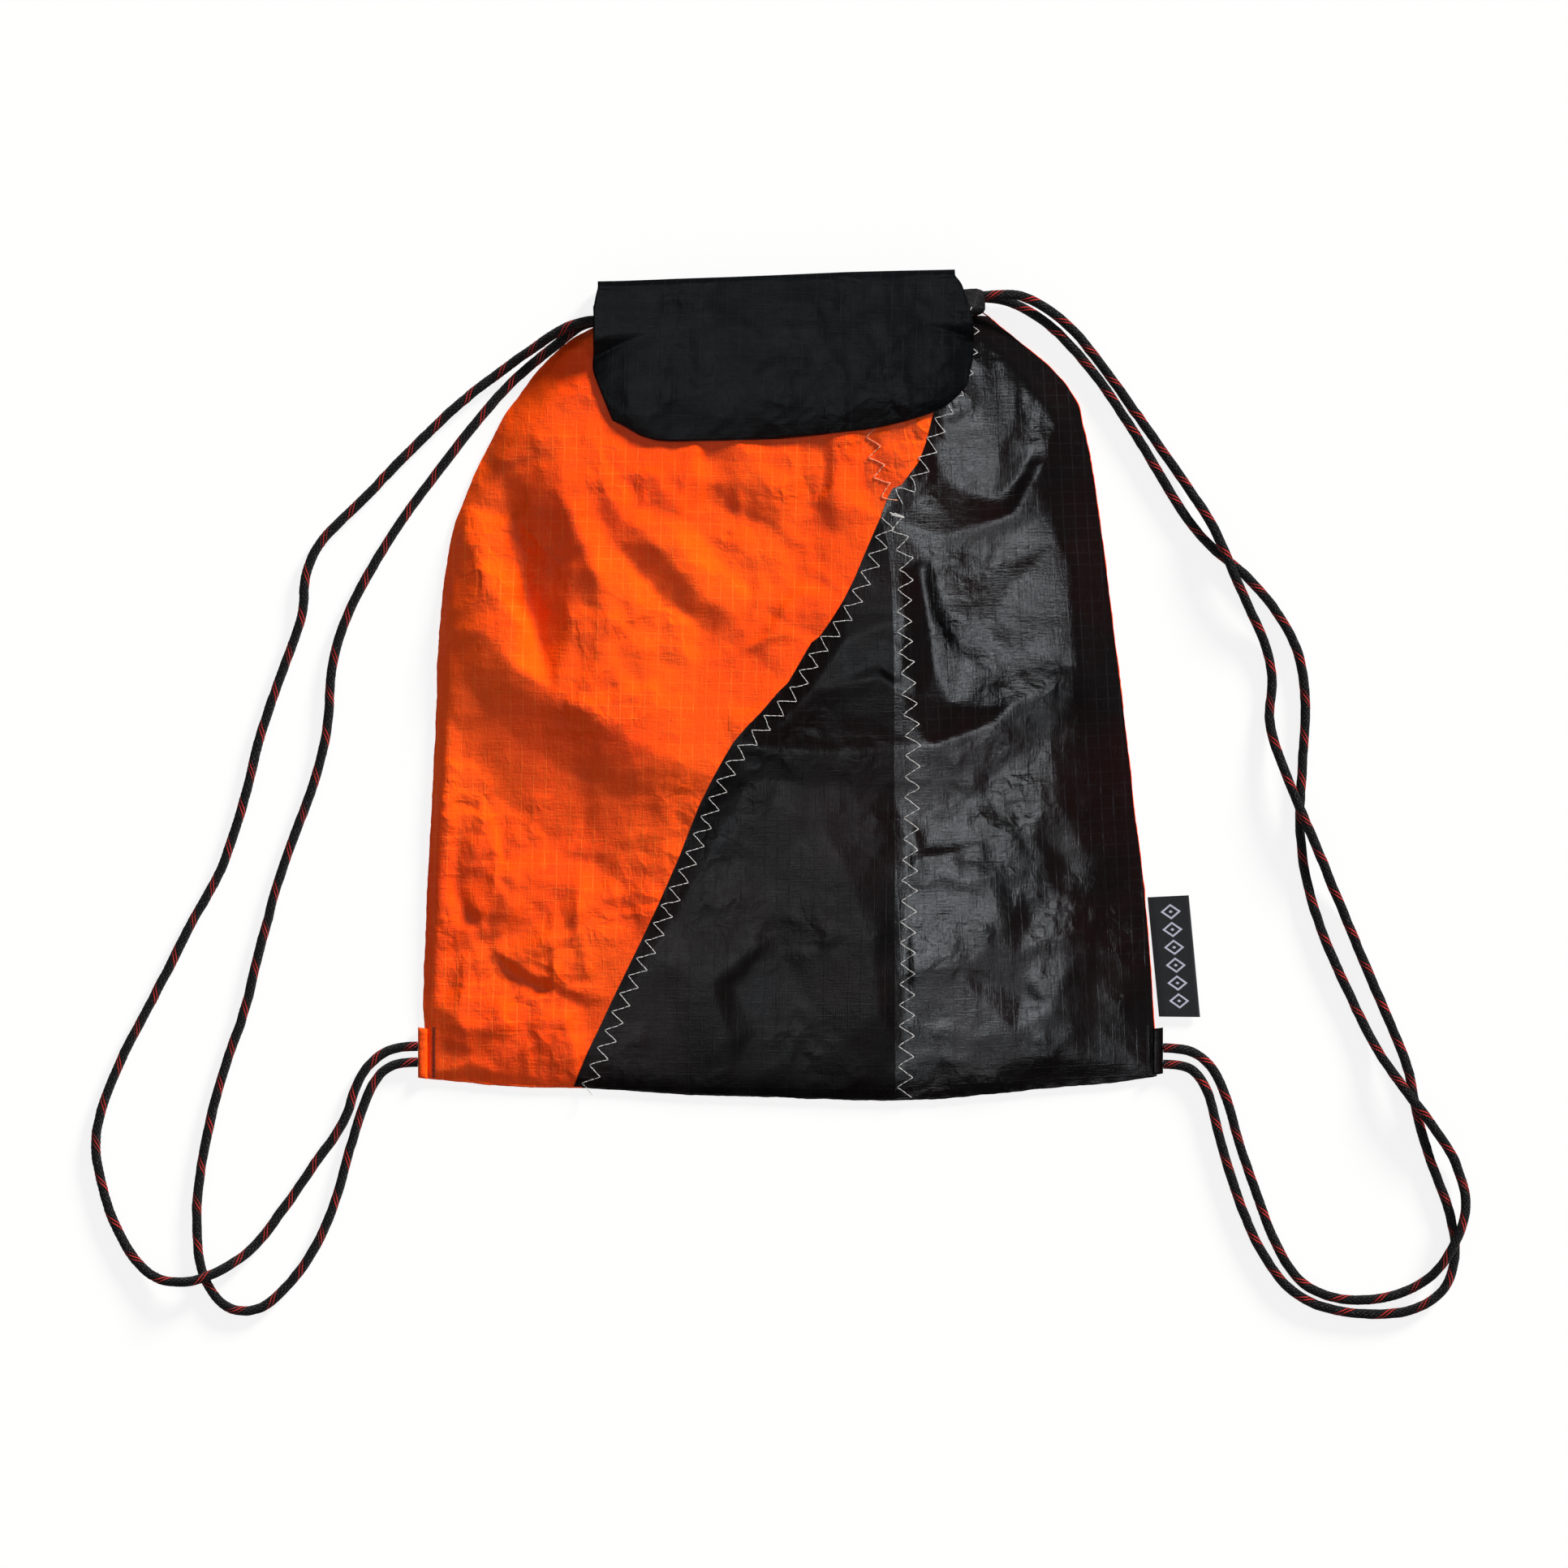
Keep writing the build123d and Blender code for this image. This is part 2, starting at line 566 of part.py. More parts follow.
left_corner_tab.part.label = "left_corner_tab"
export_step(left_corner_tab.part, "parts/left_corner_tab.step")
right_corner_tab.part.label = "right_corner_tab"
export_step(right_corner_tab.part, "parts/right_corner_tab.step")
left_corner_bartack.part.label = "left_corner_bartack"
export_step(left_corner_bartack.part, "parts/left_corner_bartack.step")
right_corner_bartack.part.label = "right_corner_bartack"
export_step(right_corner_bartack.part, "parts/right_corner_bartack.step")
front_casing.part.label = "front_casing"
export_step(front_casing.part, "parts/front_casing.step")
back_casing.part.label = "back_casing"
export_step(back_casing.part, "parts/back_casing.step")
front_casing_stitching.part.label = "front_casing_stitching"
export_step(front_casing_stitching.part, "parts/front_casing_stitching.step")
back_casing_stitching.part.label = "back_casing_stitching"
export_step(back_casing_stitching.part, "parts/back_casing_stitching.step")
flap_root_band.part.label = "flap_root_band"
export_step(flap_root_band.part, "parts/flap_root_band.step")
flap_riser.part.label = "flap_riser"
export_step(flap_riser.part, "parts/flap_riser.step")
flap_outer.part.label = "flap_outer"
export_step(flap_outer.part, "parts/flap_outer.step")
flap_lining.part.label = "flap_lining"
export_step(flap_lining.part, "parts/flap_lining.step")
flap_edge_stitching.part.label = "flap_edge_stitching"
export_step(flap_edge_stitching.part, "parts/flap_edge_stitching.step")
side_label.part.label = "side_label"
export_step(side_label.part, "parts/side_label.step")
diagonal_seam_thread.part.label = "diagonal_seam_thread"
export_step(diagonal_seam_thread.part, "parts/diagonal_seam_thread.step")
upright_seam_thread.part.label = "upright_seam_thread"
export_step(upright_seam_thread.part, "parts/upright_seam_thread.step")
left_cord.part.label = "left_cord"
export_step(left_cord.part, "parts/left_cord.step")
right_cord.part.label = "right_cord"
export_step(right_cord.part, "parts/right_cord.step")
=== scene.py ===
"""Final look of the flap-top drawstring backpack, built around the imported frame.

Lengths in the tables are millimetres in the frame; everything made from them is in metres.
"""

import math

import bmesh
import bpy
import numpy as np
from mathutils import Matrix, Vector
from mathutils.geometry import delaunay_2d_cdt


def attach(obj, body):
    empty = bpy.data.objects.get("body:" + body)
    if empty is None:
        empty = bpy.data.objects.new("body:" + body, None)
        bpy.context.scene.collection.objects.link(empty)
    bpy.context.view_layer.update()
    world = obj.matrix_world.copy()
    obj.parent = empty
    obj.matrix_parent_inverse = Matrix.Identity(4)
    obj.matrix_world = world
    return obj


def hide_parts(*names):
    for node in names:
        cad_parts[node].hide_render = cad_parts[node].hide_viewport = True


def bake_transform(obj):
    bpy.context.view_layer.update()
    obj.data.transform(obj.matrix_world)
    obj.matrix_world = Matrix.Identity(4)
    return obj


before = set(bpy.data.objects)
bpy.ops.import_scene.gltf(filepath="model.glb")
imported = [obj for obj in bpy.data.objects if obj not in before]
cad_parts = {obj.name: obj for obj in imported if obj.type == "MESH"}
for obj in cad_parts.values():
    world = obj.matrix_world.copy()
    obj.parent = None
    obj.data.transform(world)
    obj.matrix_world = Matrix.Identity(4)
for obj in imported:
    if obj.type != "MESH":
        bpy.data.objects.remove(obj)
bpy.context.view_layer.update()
scene = bpy.context.scene
MM = 0.001

# ------------------------------------------------------------------ camera
camera_data = bpy.data.cameras.new("camera")
camera_data.sensor_width = 36.0
camera_data.lens = 139.75
camera_data.clip_end = 50
camera = bpy.data.objects.new("camera", camera_data)
camera.location = (-0.004, -0.0484, 3.0)
scene.collection.objects.link(camera)
scene.camera = camera

# ------------------------------------------------------------------ tables (mm)
left_cord_route = [
    (-184.4, -177.6, 2.4), (-195.6, -177.6, 2.4), (-207.5, -184.8, 2.4), (-215.5, -197.5, 2.4),
    (-219.2, -213.2, 2.4), (-235.2, -235.6, 2.4), (-252, -260, 2.4), (-266.4, -278.8, 3),
    (-283.2, -289.2, 7.9), (-300, -294.4, 7.9), (-316.8, -291.2, 3), (-331.2, -272.4, 2.4),
    (-341.6, -242.8, 2.4), (-344, -217.2, 2.4), (-330, -182, 2.4), (-311.2, -147.6, 2.4),
    (-294, -113.2, 2.4), (-281.2, -92, 2.4), (-270, -58, 2.4), (-261.6, -22, 2.4),
    (-250.4, 8.8, 2.4), (-240.4, 35.2, 2.4), (-240.4, 53.2, 2.4), (-233.2, 71.2, 2.4),
    (-214.4, 88.4, 2.4), (-190.4, 113.6, 2.4), (-166.4, 137.2, 2.4), (-145.6, 153.2, 3),
    (-130.4, 163.6, 6.8), (-115.2, 174, 12.4), (-102.3, 178.84, 16.6), (-88.31, 179.3, 16.6),
    (77.8, 184.84, 16.6), (90.79, 185.27, 16.6), (90.79, 185.27, 3.6), (77.8, 184.84, 3.6),
    (-88.31, 179.3, 3.6), (-102.3, 178.84, 3.6), (-115.2, 168.4, 2.7), (-130.4, 156.8, 2.4),
    (-146, 141.6, 2.4), (-164, 119.2, 2.4), (-187.2, 88.8, 2.4), (-204.8, 62.4, 2.4),
    (-220.8, 32.8, 2.4), (-227.6, 6, 2.4), (-228.4, -20.8, 2.4), (-235.2, -48, 2.4),
    (-247.6, -79.6, 2.4), (-254.8, -102, 2.4), (-263.6, -134.8, 2.4), (-269.2, -160, 2.4),
    (-281.2, -192, 2.4), (-288, -220, 2.4), (-292.4, -244, 2.4), (-293.6, -270, 2.4),
    (-290.4, -292.4, 2.4), (-278.8, -307.6, 2.4), (-263.2, -308.4, 2.4), (-249.6, -297.2, 2.4),
    (-235.2, -278.8, 2.4), (-224.4, -253.2, 2.4), (-216.8, -224, 2.4), (-209.6, -202, 2.4),
    (-203.6, -191.2, 2.4), (-194.6, -185.4, 2.4), (-184.4, -185.4, 2.4),
]
right_cord_route = [
    (182.8, -186.4, 2.4), (192.4, -186.4, 2.4), (200.4, -191.4, 2.4), (206, -203, 2.4),
    (208.8, -216.4, 2.4), (216, -242.8, 2.4), (227.6, -273.6, 2.4), (242, -295.6, 2.4),
    (258.4, -306, 2.4), (281.6, -310, 2.4), (303.6, -308.8, 2.4), (320.8, -299.6, 2.4),
    (327.6, -282, 2.4), (324.8, -260.8, 2.4), (315.6, -238, 2.4), (307.6, -212, 2.4),
    (304, -189.2, 2.4), (294.8, -166.8, 2.4), (281.6, -136.4, 2.4), (270.4, -109.2, 2.6),
    (258, -80, 7.9), (242.4, -43.2, 7.9), (234, -19.2, 2.6), (237.2, 2.8, 2.4),
    (232.8, 22, 2.8), (221.6, 44.4, 7.9), (208, 77.2, 7.9), (196, 96, 3),
    (180.4, 118.4, 2.4), (163.2, 142.8, 2.4), (150.4, 160.8, 2.4), (138.8, 175.2, 3),
    (125.6, 185.6, 6.8), (112, 192, 12.4), (99.4, 191.16, 16.6), (85.41, 190.7, 16.6),
    (-80.7, 185.16, 16.6), (-93.69, 184.73, 16.6), (-93.69, 184.73, 3.6), (-80.7, 185.16, 3.6),
    (85.41, 190.7, 3.6), (99.4, 191.16, 3.6), (112, 187.2, 2.7), (124.8, 179.6, 2.4),
    (138.4, 166.8, 2.4), (156, 144.4, 2.4), (176.4, 112, 2.4), (192, 85.2, 2.4),
    (205.6, 68.4, 2.4), (222.4, 56, 2.4), (238.8, 37.2, 2.4), (250.4, 15.6, 2.4),
    (253.2, -9.2, 2.4), (251.6, -36, 2.4), (249.6, -62, 2.4), (251.2, -86.8, 2.4),
    (258, -114.8, 2.4), (272, -147.2, 2.4), (285.6, -175.6, 2.6), (298, -194.8, 7.9),
    (316.8, -218.4, 7.9), (328.4, -237.2, 3.4), (332.8, -258, 7.7), (322.4, -282.8, 7.9),
    (308, -296.4, 3), (289.6, -302.4, 2.4), (271.6, -302.8, 2.4), (255.6, -298, 2.4),
    (246.4, -289.6, 2.4), (237.6, -274.8, 2.4), (230, -254, 2.4), (221.6, -230, 2.4),
    (216.5, -212, 2.4), (211.5, -196, 2.4), (204.5, -184.6, 2.4), (194, -178.4, 2.4),
    (182.8, -178.4, 2.4),
]

# the bag's outline, from the bottom left corner up the left side to the mouth
left_side = [
    (-180.0, -192.8), (-180.6, -182.0), (-180.2, -174.8), (-180.4, -168.0), (-181.4, -158.0), (-181.2, -152.0), (-180.6, -134.0), (-179.8, -118.0),
    (-179.2, -102.0), (-178.4, -86.0), (-177.2, -62.0), (-176.2, -42.0), (-175.2, -24.0), (-174.4, -5.2), (-174.2, 12.0), (-173.2, 27.6),
    (-171.6, 46.0), (-169.2, 62.4), (-166.8, 76.0), (-164.8, 82.0), (-161.6, 89.6), (-158.8, 97.2), (-155.6, 104.8), (-150.8, 114.0),
    (-144.8, 126.4), (-140.0, 134.8), (-134.8, 141.6), (-126.4, 153.2), (-115.6, 164.4), (-106.4, 171.6), (-97.6, 176.0),
]
right_side = [
    (179.6, -191.6), (179.0, -182.0), (179.0, -174.0), (178.0, -164.0), (177.2, -148.0), (176.0, -130.8), (174.4, -112.0), (172.8, -95.2),
    (170.8, -78.0), (168.4, -62.0), (166.8, -44.0), (164.8, -26.8), (162.4, -6.0), (160.0, 13.2), (158.0, 29.2), (155.2, 53.2),
    (152.8, 72.0), (150.8, 85.2), (149.2, 98.0), (146.8, 112.0), (144.8, 121.6), (142.8, 129.6), (141.6, 137.2), (139.2, 141.6),
    (134.4, 149.2), (126.0, 158.0), (119.6, 163.2), (112.0, 169.2), (105.6, 174.4), (99.6, 179.2), (93.2, 184.4),
]
bottom_side = [
    (-180.0, -192.8), (-166.4, -194.2), (-146.4, -196.2), (-129.6, -197.2), (-105.6, -197.4), (-86.4, -198.4), (-51.2, -200.8), (-22.4, -201.6),
    (9.6, -202.8), (29.6, -203.4), (52.8, -203.6), (69.6, -203.0), (81.6, -202.0), (101.6, -200.2), (117.6, -198.4), (141.6, -196.2),
    (161.6, -194.6), (179.6, -191.6),
]
diagonal_edge = [
    (-107.6, -197.4), (-100.4, -180.0), (-94.0, -166.8), (-88.4, -154.8), (-80.4, -138.4), (-73.6, -124.4), (-66.0, -108.4), (-59.6, -94.0),
    (-54.8, -82.8), (-50.0, -70.4), (-45.2, -58.4), (-39.2, -46.4), (-34.0, -36.8), (-28.8, -28.0), (-22.4, -20.4), (-15.2, -13.2),
    (-6.4, -2.8), (-2.0, 1.2), (3.6, 10.8), (9.6, 21.2), (13.6, 24.0), (20.0, 33.2), (25.6, 42.4), (30.8, 52.8),
    (34.8, 62.4), (39.2, 72.8), (43.2, 82.0),
]
upright_edge = [
    (50.8, -203.6), (50.4, -162.0), (50.4, -102.0), (50.0, -32.0), (50.0, 18.0), (48.8, 50.0), (46.8, 70.0), (43.2, 82.0),
]
upper_diagonal_edge = [
    (43.2, 82.0), (46.8, 91.6), (49.2, 96.6), (53.2, 97.6), (57.6, 103.6), (62.4, 110.0), (66.0, 120.0), (69.2, 133.2),
    (74.4, 146.8), (78.4, 162.0), (81.6, 178.0),
]
upper_upright_edge = [
    (43.2, 82.0), (40.0, 90.8), (36.8, 98.0), (34.4, 114.0), (33.2, 124.0), (30.4, 150.0), (28.0, 178.0),
]

# folds of the front: each line is a crest or a valley with its height
folds = [
    [(-97.6, 175.6, 12), (-114.4, 164.4, 9), (-134.4, 141.6, 7), (-150.8, 114.0, 7), (-161.6, 88.8, 8), (-169.2, 62.4, 9), (-173.2, 27.6, 10), (-174.4, -5.2, 9.5), (-177.2, -62.0, 9), (-179.2, -102.0, 8.5), (-181.2, -152.0, 8), (-180.0, -192.8, 7), (-129.6, -197.2, 7), (-51.2, -200.8, 7.5), (9.6, -202.8, 7.5), (81.6, -202.0, 7.5), (179.6, -191.6, 7), (178.4, -164.0, 8), (176.0, -130.8, 9), (168.4, -62.0, 10), (164.8, -26.8, 10), (158.0, 29.2, 10), (150.8, 85.2, 9), (142.8, 129.6, 8), (126.0, 158.0, 9), (99.6, 179.2, 11), (93.2, 184.4, 12), (85.6, 206.0, 14), (0.0, 206.0, 14), (-96.4, 200.0, 13), (-97.6, 175.6, 12)],
    [(-94.4, 177.2, 14), (-50.4, 177.2, 15), (-6.4, 177.2, 15.5), (41.6, 178.8, 15.5), (85.6, 181.2, 14.5)],
    [(-97.6, 151.2, 14.5), (-114.4, 140.8, 14.5), (-133.2, 124.8, 13), (-143.2, 109.2, 10.5)],
    [(-114.4, 140.8, 14.5), (-113.6, 116.0, 16), (-112.4, 94.4, 17), (-104.8, 76.0, 17), (-98.8, 58.0, 16.4), (-108.8, 36.0, 14), (-123.6, 17.2, 10.5)],
    [(-143.2, 104.4, 8.5), (-137.6, 82.0, 8), (-133.6, 62.0, 8), (-128.4, 34.0, 9), (-123.6, 17.2, 10.5)],
    [(-161.2, 82.0, 10), (-154.4, 62.0, 12), (-145.6, 46.0, 13.4), (-133.6, 30.8, 13.8), (-123.6, 17.2, 10.5)],
    [(-158.0, 50.4, 11.5), (-151.6, 26.0, 13.8), (-135.2, 9.6, 15.6), (-117.2, -3.2, 16.4), (-104.0, -11.2, 16.9), (-89.2, -21.2, 17.3), (-71.2, -30.8, 17.4), (-54.4, -38.0, 17.2), (-38.0, -44.4, 16.6)],
    [(-166.4, 18.0, 10), (-160.4, 0.0, 10), (-148.4, -16.0, 10.6), (-128.4, -30.0, 11.4), (-107.2, -42.8, 12), (-85.6, -56.0, 12.6), (-64.4, -64.0, 13.4)],
    [(-160.4, -34.0, 8.4), (-142.4, -56.0, 8.6), (-114.4, -78.0, 9.2), (-84.4, -96.0, 10.4)],
    [(-50.0, -70.4, 13.2), (-59.6, -94.0, 12.4), (-73.6, -124.4, 11.2), (-88.4, -154.8, 10), (-100.4, -180.0, 8.8)],
    [(-159.2, -64.4, 8.6), (-154.4, -74.8, 10.2), (-149.6, -84.8, 9.6)],
    [(-169.2, -14.0, 9.8), (-172.4, -62.0, 9.9), (-174.4, -102.0, 9.7), (-176.4, -146.8, 9.4)],
    [(-162.4, -24.0, 8.2), (-164.0, -62.0, 7.8), (-165.6, -102.0, 7.8), (-167.6, -146.0, 7.8)],
    [(-142.4, -86.0, 8.8), (-137.6, -92.0, 10.4), (-131.6, -102.8, 10.9), (-120.4, -112.4, 9.6)],
    [(-160.4, -96.0, 9), (-154.4, -110.0, 10.2), (-150.4, -128.0, 8.8)],
    [(-116.8, -109.2, 10.8), (-118.4, -124.0, 11), (-120.0, -142.0, 9.4)],
    [(-135.2, -138.0, 10.8), (-117.2, -144.4, 10.6), (-101.6, -152.4, 9.6)],
    [(-134.4, -143.6, 8.6), (-117.2, -150.0, 8.4), (-101.6, -158.0, 8.4)],
    [(-176.0, -158.0, 8), (-165.6, -160.8, 10.6), (-160.0, -170.0, 11.4), (-158.8, -186.0, 9)],
    [(-172.4, -178.0, 7.4), (-150.4, -182.0, 8.2)],
    [(-130.4, -164.0, 9.4), (-128.4, -186.0, 8)],
    [(-107.2, 101.2, 16.2), (-94.4, 98.0, 15.4), (-79.2, 96.4, 12.6), (-64.4, 100.4, 15.4), (-50.4, 101.2, 15.2), (-34.4, 98.8, 13.4)],
    [(-93.6, 113.2, 15), (-78.0, 115.6, 14)],
    [(-95.2, 150.0, 14.6), (-87.2, 133.2, 14.6), (-65.6, 122.8, 14.4), (-45.6, 121.6, 14.2)],
    [(-92.4, 81.2, 14), (-86.4, 69.2, 13), (-74.4, 54.8, 12.4), (-60.0, 41.2, 12.6), (-43.6, 27.6, 13.2), (-25.6, 18.0, 14)],
    [(-82.4, 82.0, 14.8), (-70.4, 72.4, 15.6), (-56.4, 58.0, 15.6), (-40.8, 41.6, 15.2), (-24.4, 30.0, 14.8)],
    [(-96.8, 55.6, 16.2), (-86.0, 44.8, 15.4), (-70.4, 37.2, 14.6)],
    [(-61.6, 82.0, 15.2), (-56.0, 69.2, 15.4), (-46.4, 61.2, 14.4), (-36.0, 58.0, 13.6)],
    [(-50.4, 82.0, 12.6), (-42.4, 70.0, 12.2), (-34.4, 60.4, 12.4)],
    [(-28.0, 122.0, 14.2), (-22.4, 114.0, 15.2), (-16.0, 105.2, 15.6), (-9.2, 94.4, 15.4), (-6.8, 81.6, 13.8)],
    [(-42.4, 114.0, 11.8), (-36.4, 94.0, 12), (-24.4, 82.0, 12.3), (-10.4, 77.2, 12.8)],
    [(3.6, 114.0, 13.2), (9.6, 90.0, 12.0), (3.6, 66.0, 12.6)],
    [(20.8, 126.0, 15.6), (20.8, 95.2, 15.2)],
    [(16.0, 124.0, 13.4), (16.8, 95.2, 12.8)],
    [(34.4, 126.0, 12.9), (35.2, 96.4, 12.9)],
    [(20.8, 95.2, 15.2), (29.6, 88.0, 14.8), (43.2, 82.0, 14.4)],
    [(45.6, 122.0, 14.8), (48.8, 106.0, 14.6)],
    [(69.2, 133.2, 14.6), (62.4, 110.0, 14.8), (51.6, 96.8, 15)],
    [(21.6, 74.0, 13.6), (9.6, 50.0, 14.2)],
    [(34.8, 62.4, 14.4), (25.6, 42.4, 14.8), (9.6, 21.2, 15)],
    [(5.6, 46.8, 15.2), (-3.2, 35.2, 15.4), (-12.4, 20.4, 15.2)],
    [(-0.4, 46.8, 13.8), (-10.4, 34.0, 13.6), (-20.4, 22.0, 13.8)],
    [(-2.0, 1.2, 15.2), (-15.2, -13.2, 15.8), (-28.8, -28.0, 16.6)],
    [(-110.4, 22.0, 13.8), (-93.6, 10.0, 15), (-70.4, 0.0, 15.4), (-46.4, -2.0, 15)],
    [(43.2, 82.0, 14.4), (50.0, 80.0, 13.6), (53.6, 58.0, 14.2), (55.6, 34.0, 14.6), (54.4, 9.2, 14.6), (56.8, -14.0, 14.8), (58.4, -32.0, 15.9)],
    [(25.6, 22.0, 12.6), (9.6, -2.0, 12.4), (-6.4, -20.0, 13.8)],
    [(41.6, 10.0, 14), (49.6, 5.2, 14.9), (60.8, -0.4, 14.2)],
    [(44.0, 4.4, 13.0), (51.2, -0.4, 13.6), (61.6, -5.2, 13.0)],
    [(-28.8, -28.0, 16.6), (-6.4, -32.0, 16), (25.6, -32.8, 16.2), (50.8, -32.0, 16.2), (68.0, -29.2, 16.8), (83.6, -24.0, 17), (97.2, -18.8, 17.2), (109.2, -8.8, 17.4), (125.6, -2.0, 17.4), (142.8, 4.0, 17.2)],
    [(-20.4, -46.8, 13.8), (9.6, -48.4, 14.2), (33.6, -48.4, 14.2), (56.0, -46.8, 14.4), (68.0, -45.2, 14.6), (89.6, -41.2, 14.8), (109.6, -33.2, 15), (125.6, -26.0, 15), (147.6, -17.2, 12.8)],
    [(68.0, 63.6, 13.4), (84.0, 67.2, 13.8), (109.6, 76.0, 14.4), (124.0, 81.6, 14.8), (131.2, 71.6, 15.6), (139.2, 58.4, 16.4), (140.4, 33.2, 17.3), (142.8, 4.0, 17.6), (109.2, -8.8, 17.2), (105.2, 13.2, 16), (92.0, 28.0, 14.8), (74.8, 38.4, 13.9), (68.0, 63.6, 13.4)],
    [(63.2, 57.2, 12.0), (67.2, 32.0, 11.4), (69.6, 8.0, 11.2), (78.4, -9.2, 12.2)],
    [(80.8, 20.0, 12.9), (92.8, 4.0, 14.2), (98.4, -10.8, 15.6)],
    [(85.6, 54.0, 13.4), (96.0, 57.2, 13.4), (107.6, 61.2, 14.2)],
    [(109.6, 50.0, 15.4), (114.4, 34.0, 15.5), (112.0, 18.0, 16.4)],
    [(145.6, 58.0, 13.4), (147.6, 33.2, 13.6), (150.0, 4.0, 13.6)],
    [(89.2, 178.8, 13.4), (100.8, 166.8, 14.6), (110.8, 155.6, 15.2), (121.6, 142.0, 15.2), (129.6, 133.2, 15.2), (135.2, 130.0, 14.8)],
    [(102.4, 173.2, 10.6), (117.6, 158.0, 9.8), (132.8, 141.2, 9.6)],
    [(135.2, 130.0, 14.8), (138.4, 136.0, 11.4), (140.0, 140.4, 9.6)],
    [(93.2, 158.0, 14.6), (92.0, 135.6, 15.2), (96.0, 124.0, 15.8), (101.2, 112.0, 15.8)],
    [(110.8, 155.6, 15.2), (109.6, 132.8, 15.6), (101.2, 112.0, 15.8)],
    [(112.0, 138.0, 14.2), (116.8, 126.0, 13.6), (116.0, 111.6, 13.4), (109.6, 99.6, 13.2), (102.4, 89.2, 13.2)],
    [(73.6, 102.0, 12.6), (85.6, 94.8, 12.6), (98.4, 91.6, 13)],
    [(75.6, 126.0, 13), (69.6, 114.0, 12.6)],
    [(129.6, 126.0, 15.6), (125.6, 114.0, 16), (116.8, 98.8, 16), (108.8, 84.4, 15.6), (89.6, 78.0, 15), (75.6, 73.2, 14.6)],
    [(133.6, 120.0, 13.6), (130.8, 102.0, 13.8), (126.4, 88.0, 14.6)],
    [(138.4, 114.0, 11), (140.8, 90.0, 11.4), (141.6, 70.8, 12.6)],
    [(66.8, -80.4, 13), (77.6, -68.0, 12.8), (88.0, -55.2, 13), (99.6, -44.0, 13.6)],
    [(61.2, -84.4, 14.4), (89.6, -79.6, 14.6), (118.4, -74.4, 14.2)],
    [(62.0, -88.4, 14.0), (89.6, -84.8, 14.2), (118.4, -80.0, 13.8)],
    [(117.6, -46.0, 15), (129.6, -54.0, 15), (145.6, -46.0, 13.4)],
    [(98.4, -100.4, 14.6), (102.4, -114.0, 14.4), (104.8, -130.0, 13.8)],
    [(104.8, -98.8, 13.8), (109.6, -114.0, 13.5), (111.2, -129.2, 13.1)],
    [(59.6, -138.0, 13.6), (81.6, -136.4, 13.8), (111.2, -132.4, 13.2)],
    [(59.6, -142.8, 13.1), (81.6, -141.6, 13.2), (112.0, -137.6, 12.7)],
    [(123.6, -84.0, 13.8), (133.6, -85.2, 12.2), (145.6, -85.2, 12)],
    [(114.4, -102.0, 13.2), (129.6, -106.0, 12.8), (141.6, -110.0, 11.6)],
    [(117.6, -114.0, 12.4), (129.6, -122.0, 13.2), (141.6, -128.0, 12)],
    [(114.4, -140.0, 12.4), (125.6, -158.0, 12.2), (133.6, -178.0, 10.2)],
    [(114.4, -152.0, 11), (109.6, -170.0, 11.6), (105.6, -186.0, 9.8)],
    [(145.6, -102.0, 11.4), (149.6, -142.0, 10.6), (147.6, -178.0, 9)],
    [(157.6, -62.0, 10.6), (163.6, -102.0, 10), (167.6, -142.0, 9.4)],
    [(56.8, -62.0, 13.2), (56.4, -102.0, 12.8), (56.0, -142.0, 12), (55.6, -182.0, 9.8)],
    [(-42.4, -86.0, 11.2), (-57.6, -114.0, 10.6), (-70.4, -134.0, 10.2), (-82.4, -158.0, 9.6)],
    [(-6.4, -58.0, 14.2), (13.6, -68.0, 14.6), (29.6, -98.0, 14.8), (38.4, -126.0, 14.2), (42.4, -162.0, 12.8), (40.8, -190.0, 9.2)],
    [(-14.4, -90.0, 12), (-6.4, -122.0, 11), (3.6, -158.0, 10), (9.6, -186.0, 8.6)],
    [(-68.0, -134.0, 10.6), (-40.4, -146.8, 11.8), (-31.6, -174.4, 10.6), (-30.4, -192.0, 8.4)],
    [(-28.4, -148.0, 10), (-18.4, -170.0, 9.4)],
    [(-58.4, -166.0, 9.6), (-74.4, -186.0, 8.4)],
]

flap_outline = [
    (-95.2, 198.0), (-82.0, 198.2), (-58.4, 199.2), (-30.4, 200.2), (-6.4, 201.2), (26.4, 202.8), (53.6, 203.4), (79.6, 203.8),
    (83.0, 197.6), (85.2, 189.6), (88.0, 181.2), (89.2, 173.2), (89.0, 166.8), (88.4, 160.8), (86.0, 148.4), (81.6, 142.8),
    (73.6, 136.4), (63.6, 132.4), (54.0, 129.6), (39.2, 126.4), (18.0, 124.0), (-6.4, 121.6), (-32.4, 120.6), (-58.4, 120.0),
    (-66.0, 120.4), (-74.0, 122.8), (-82.0, 127.6), (-88.0, 130.4), (-92.8, 142.0), (-96.0, 150.0), (-97.6, 154.4), (-97.4, 170.0),
    (-97.2, 185.2),
]

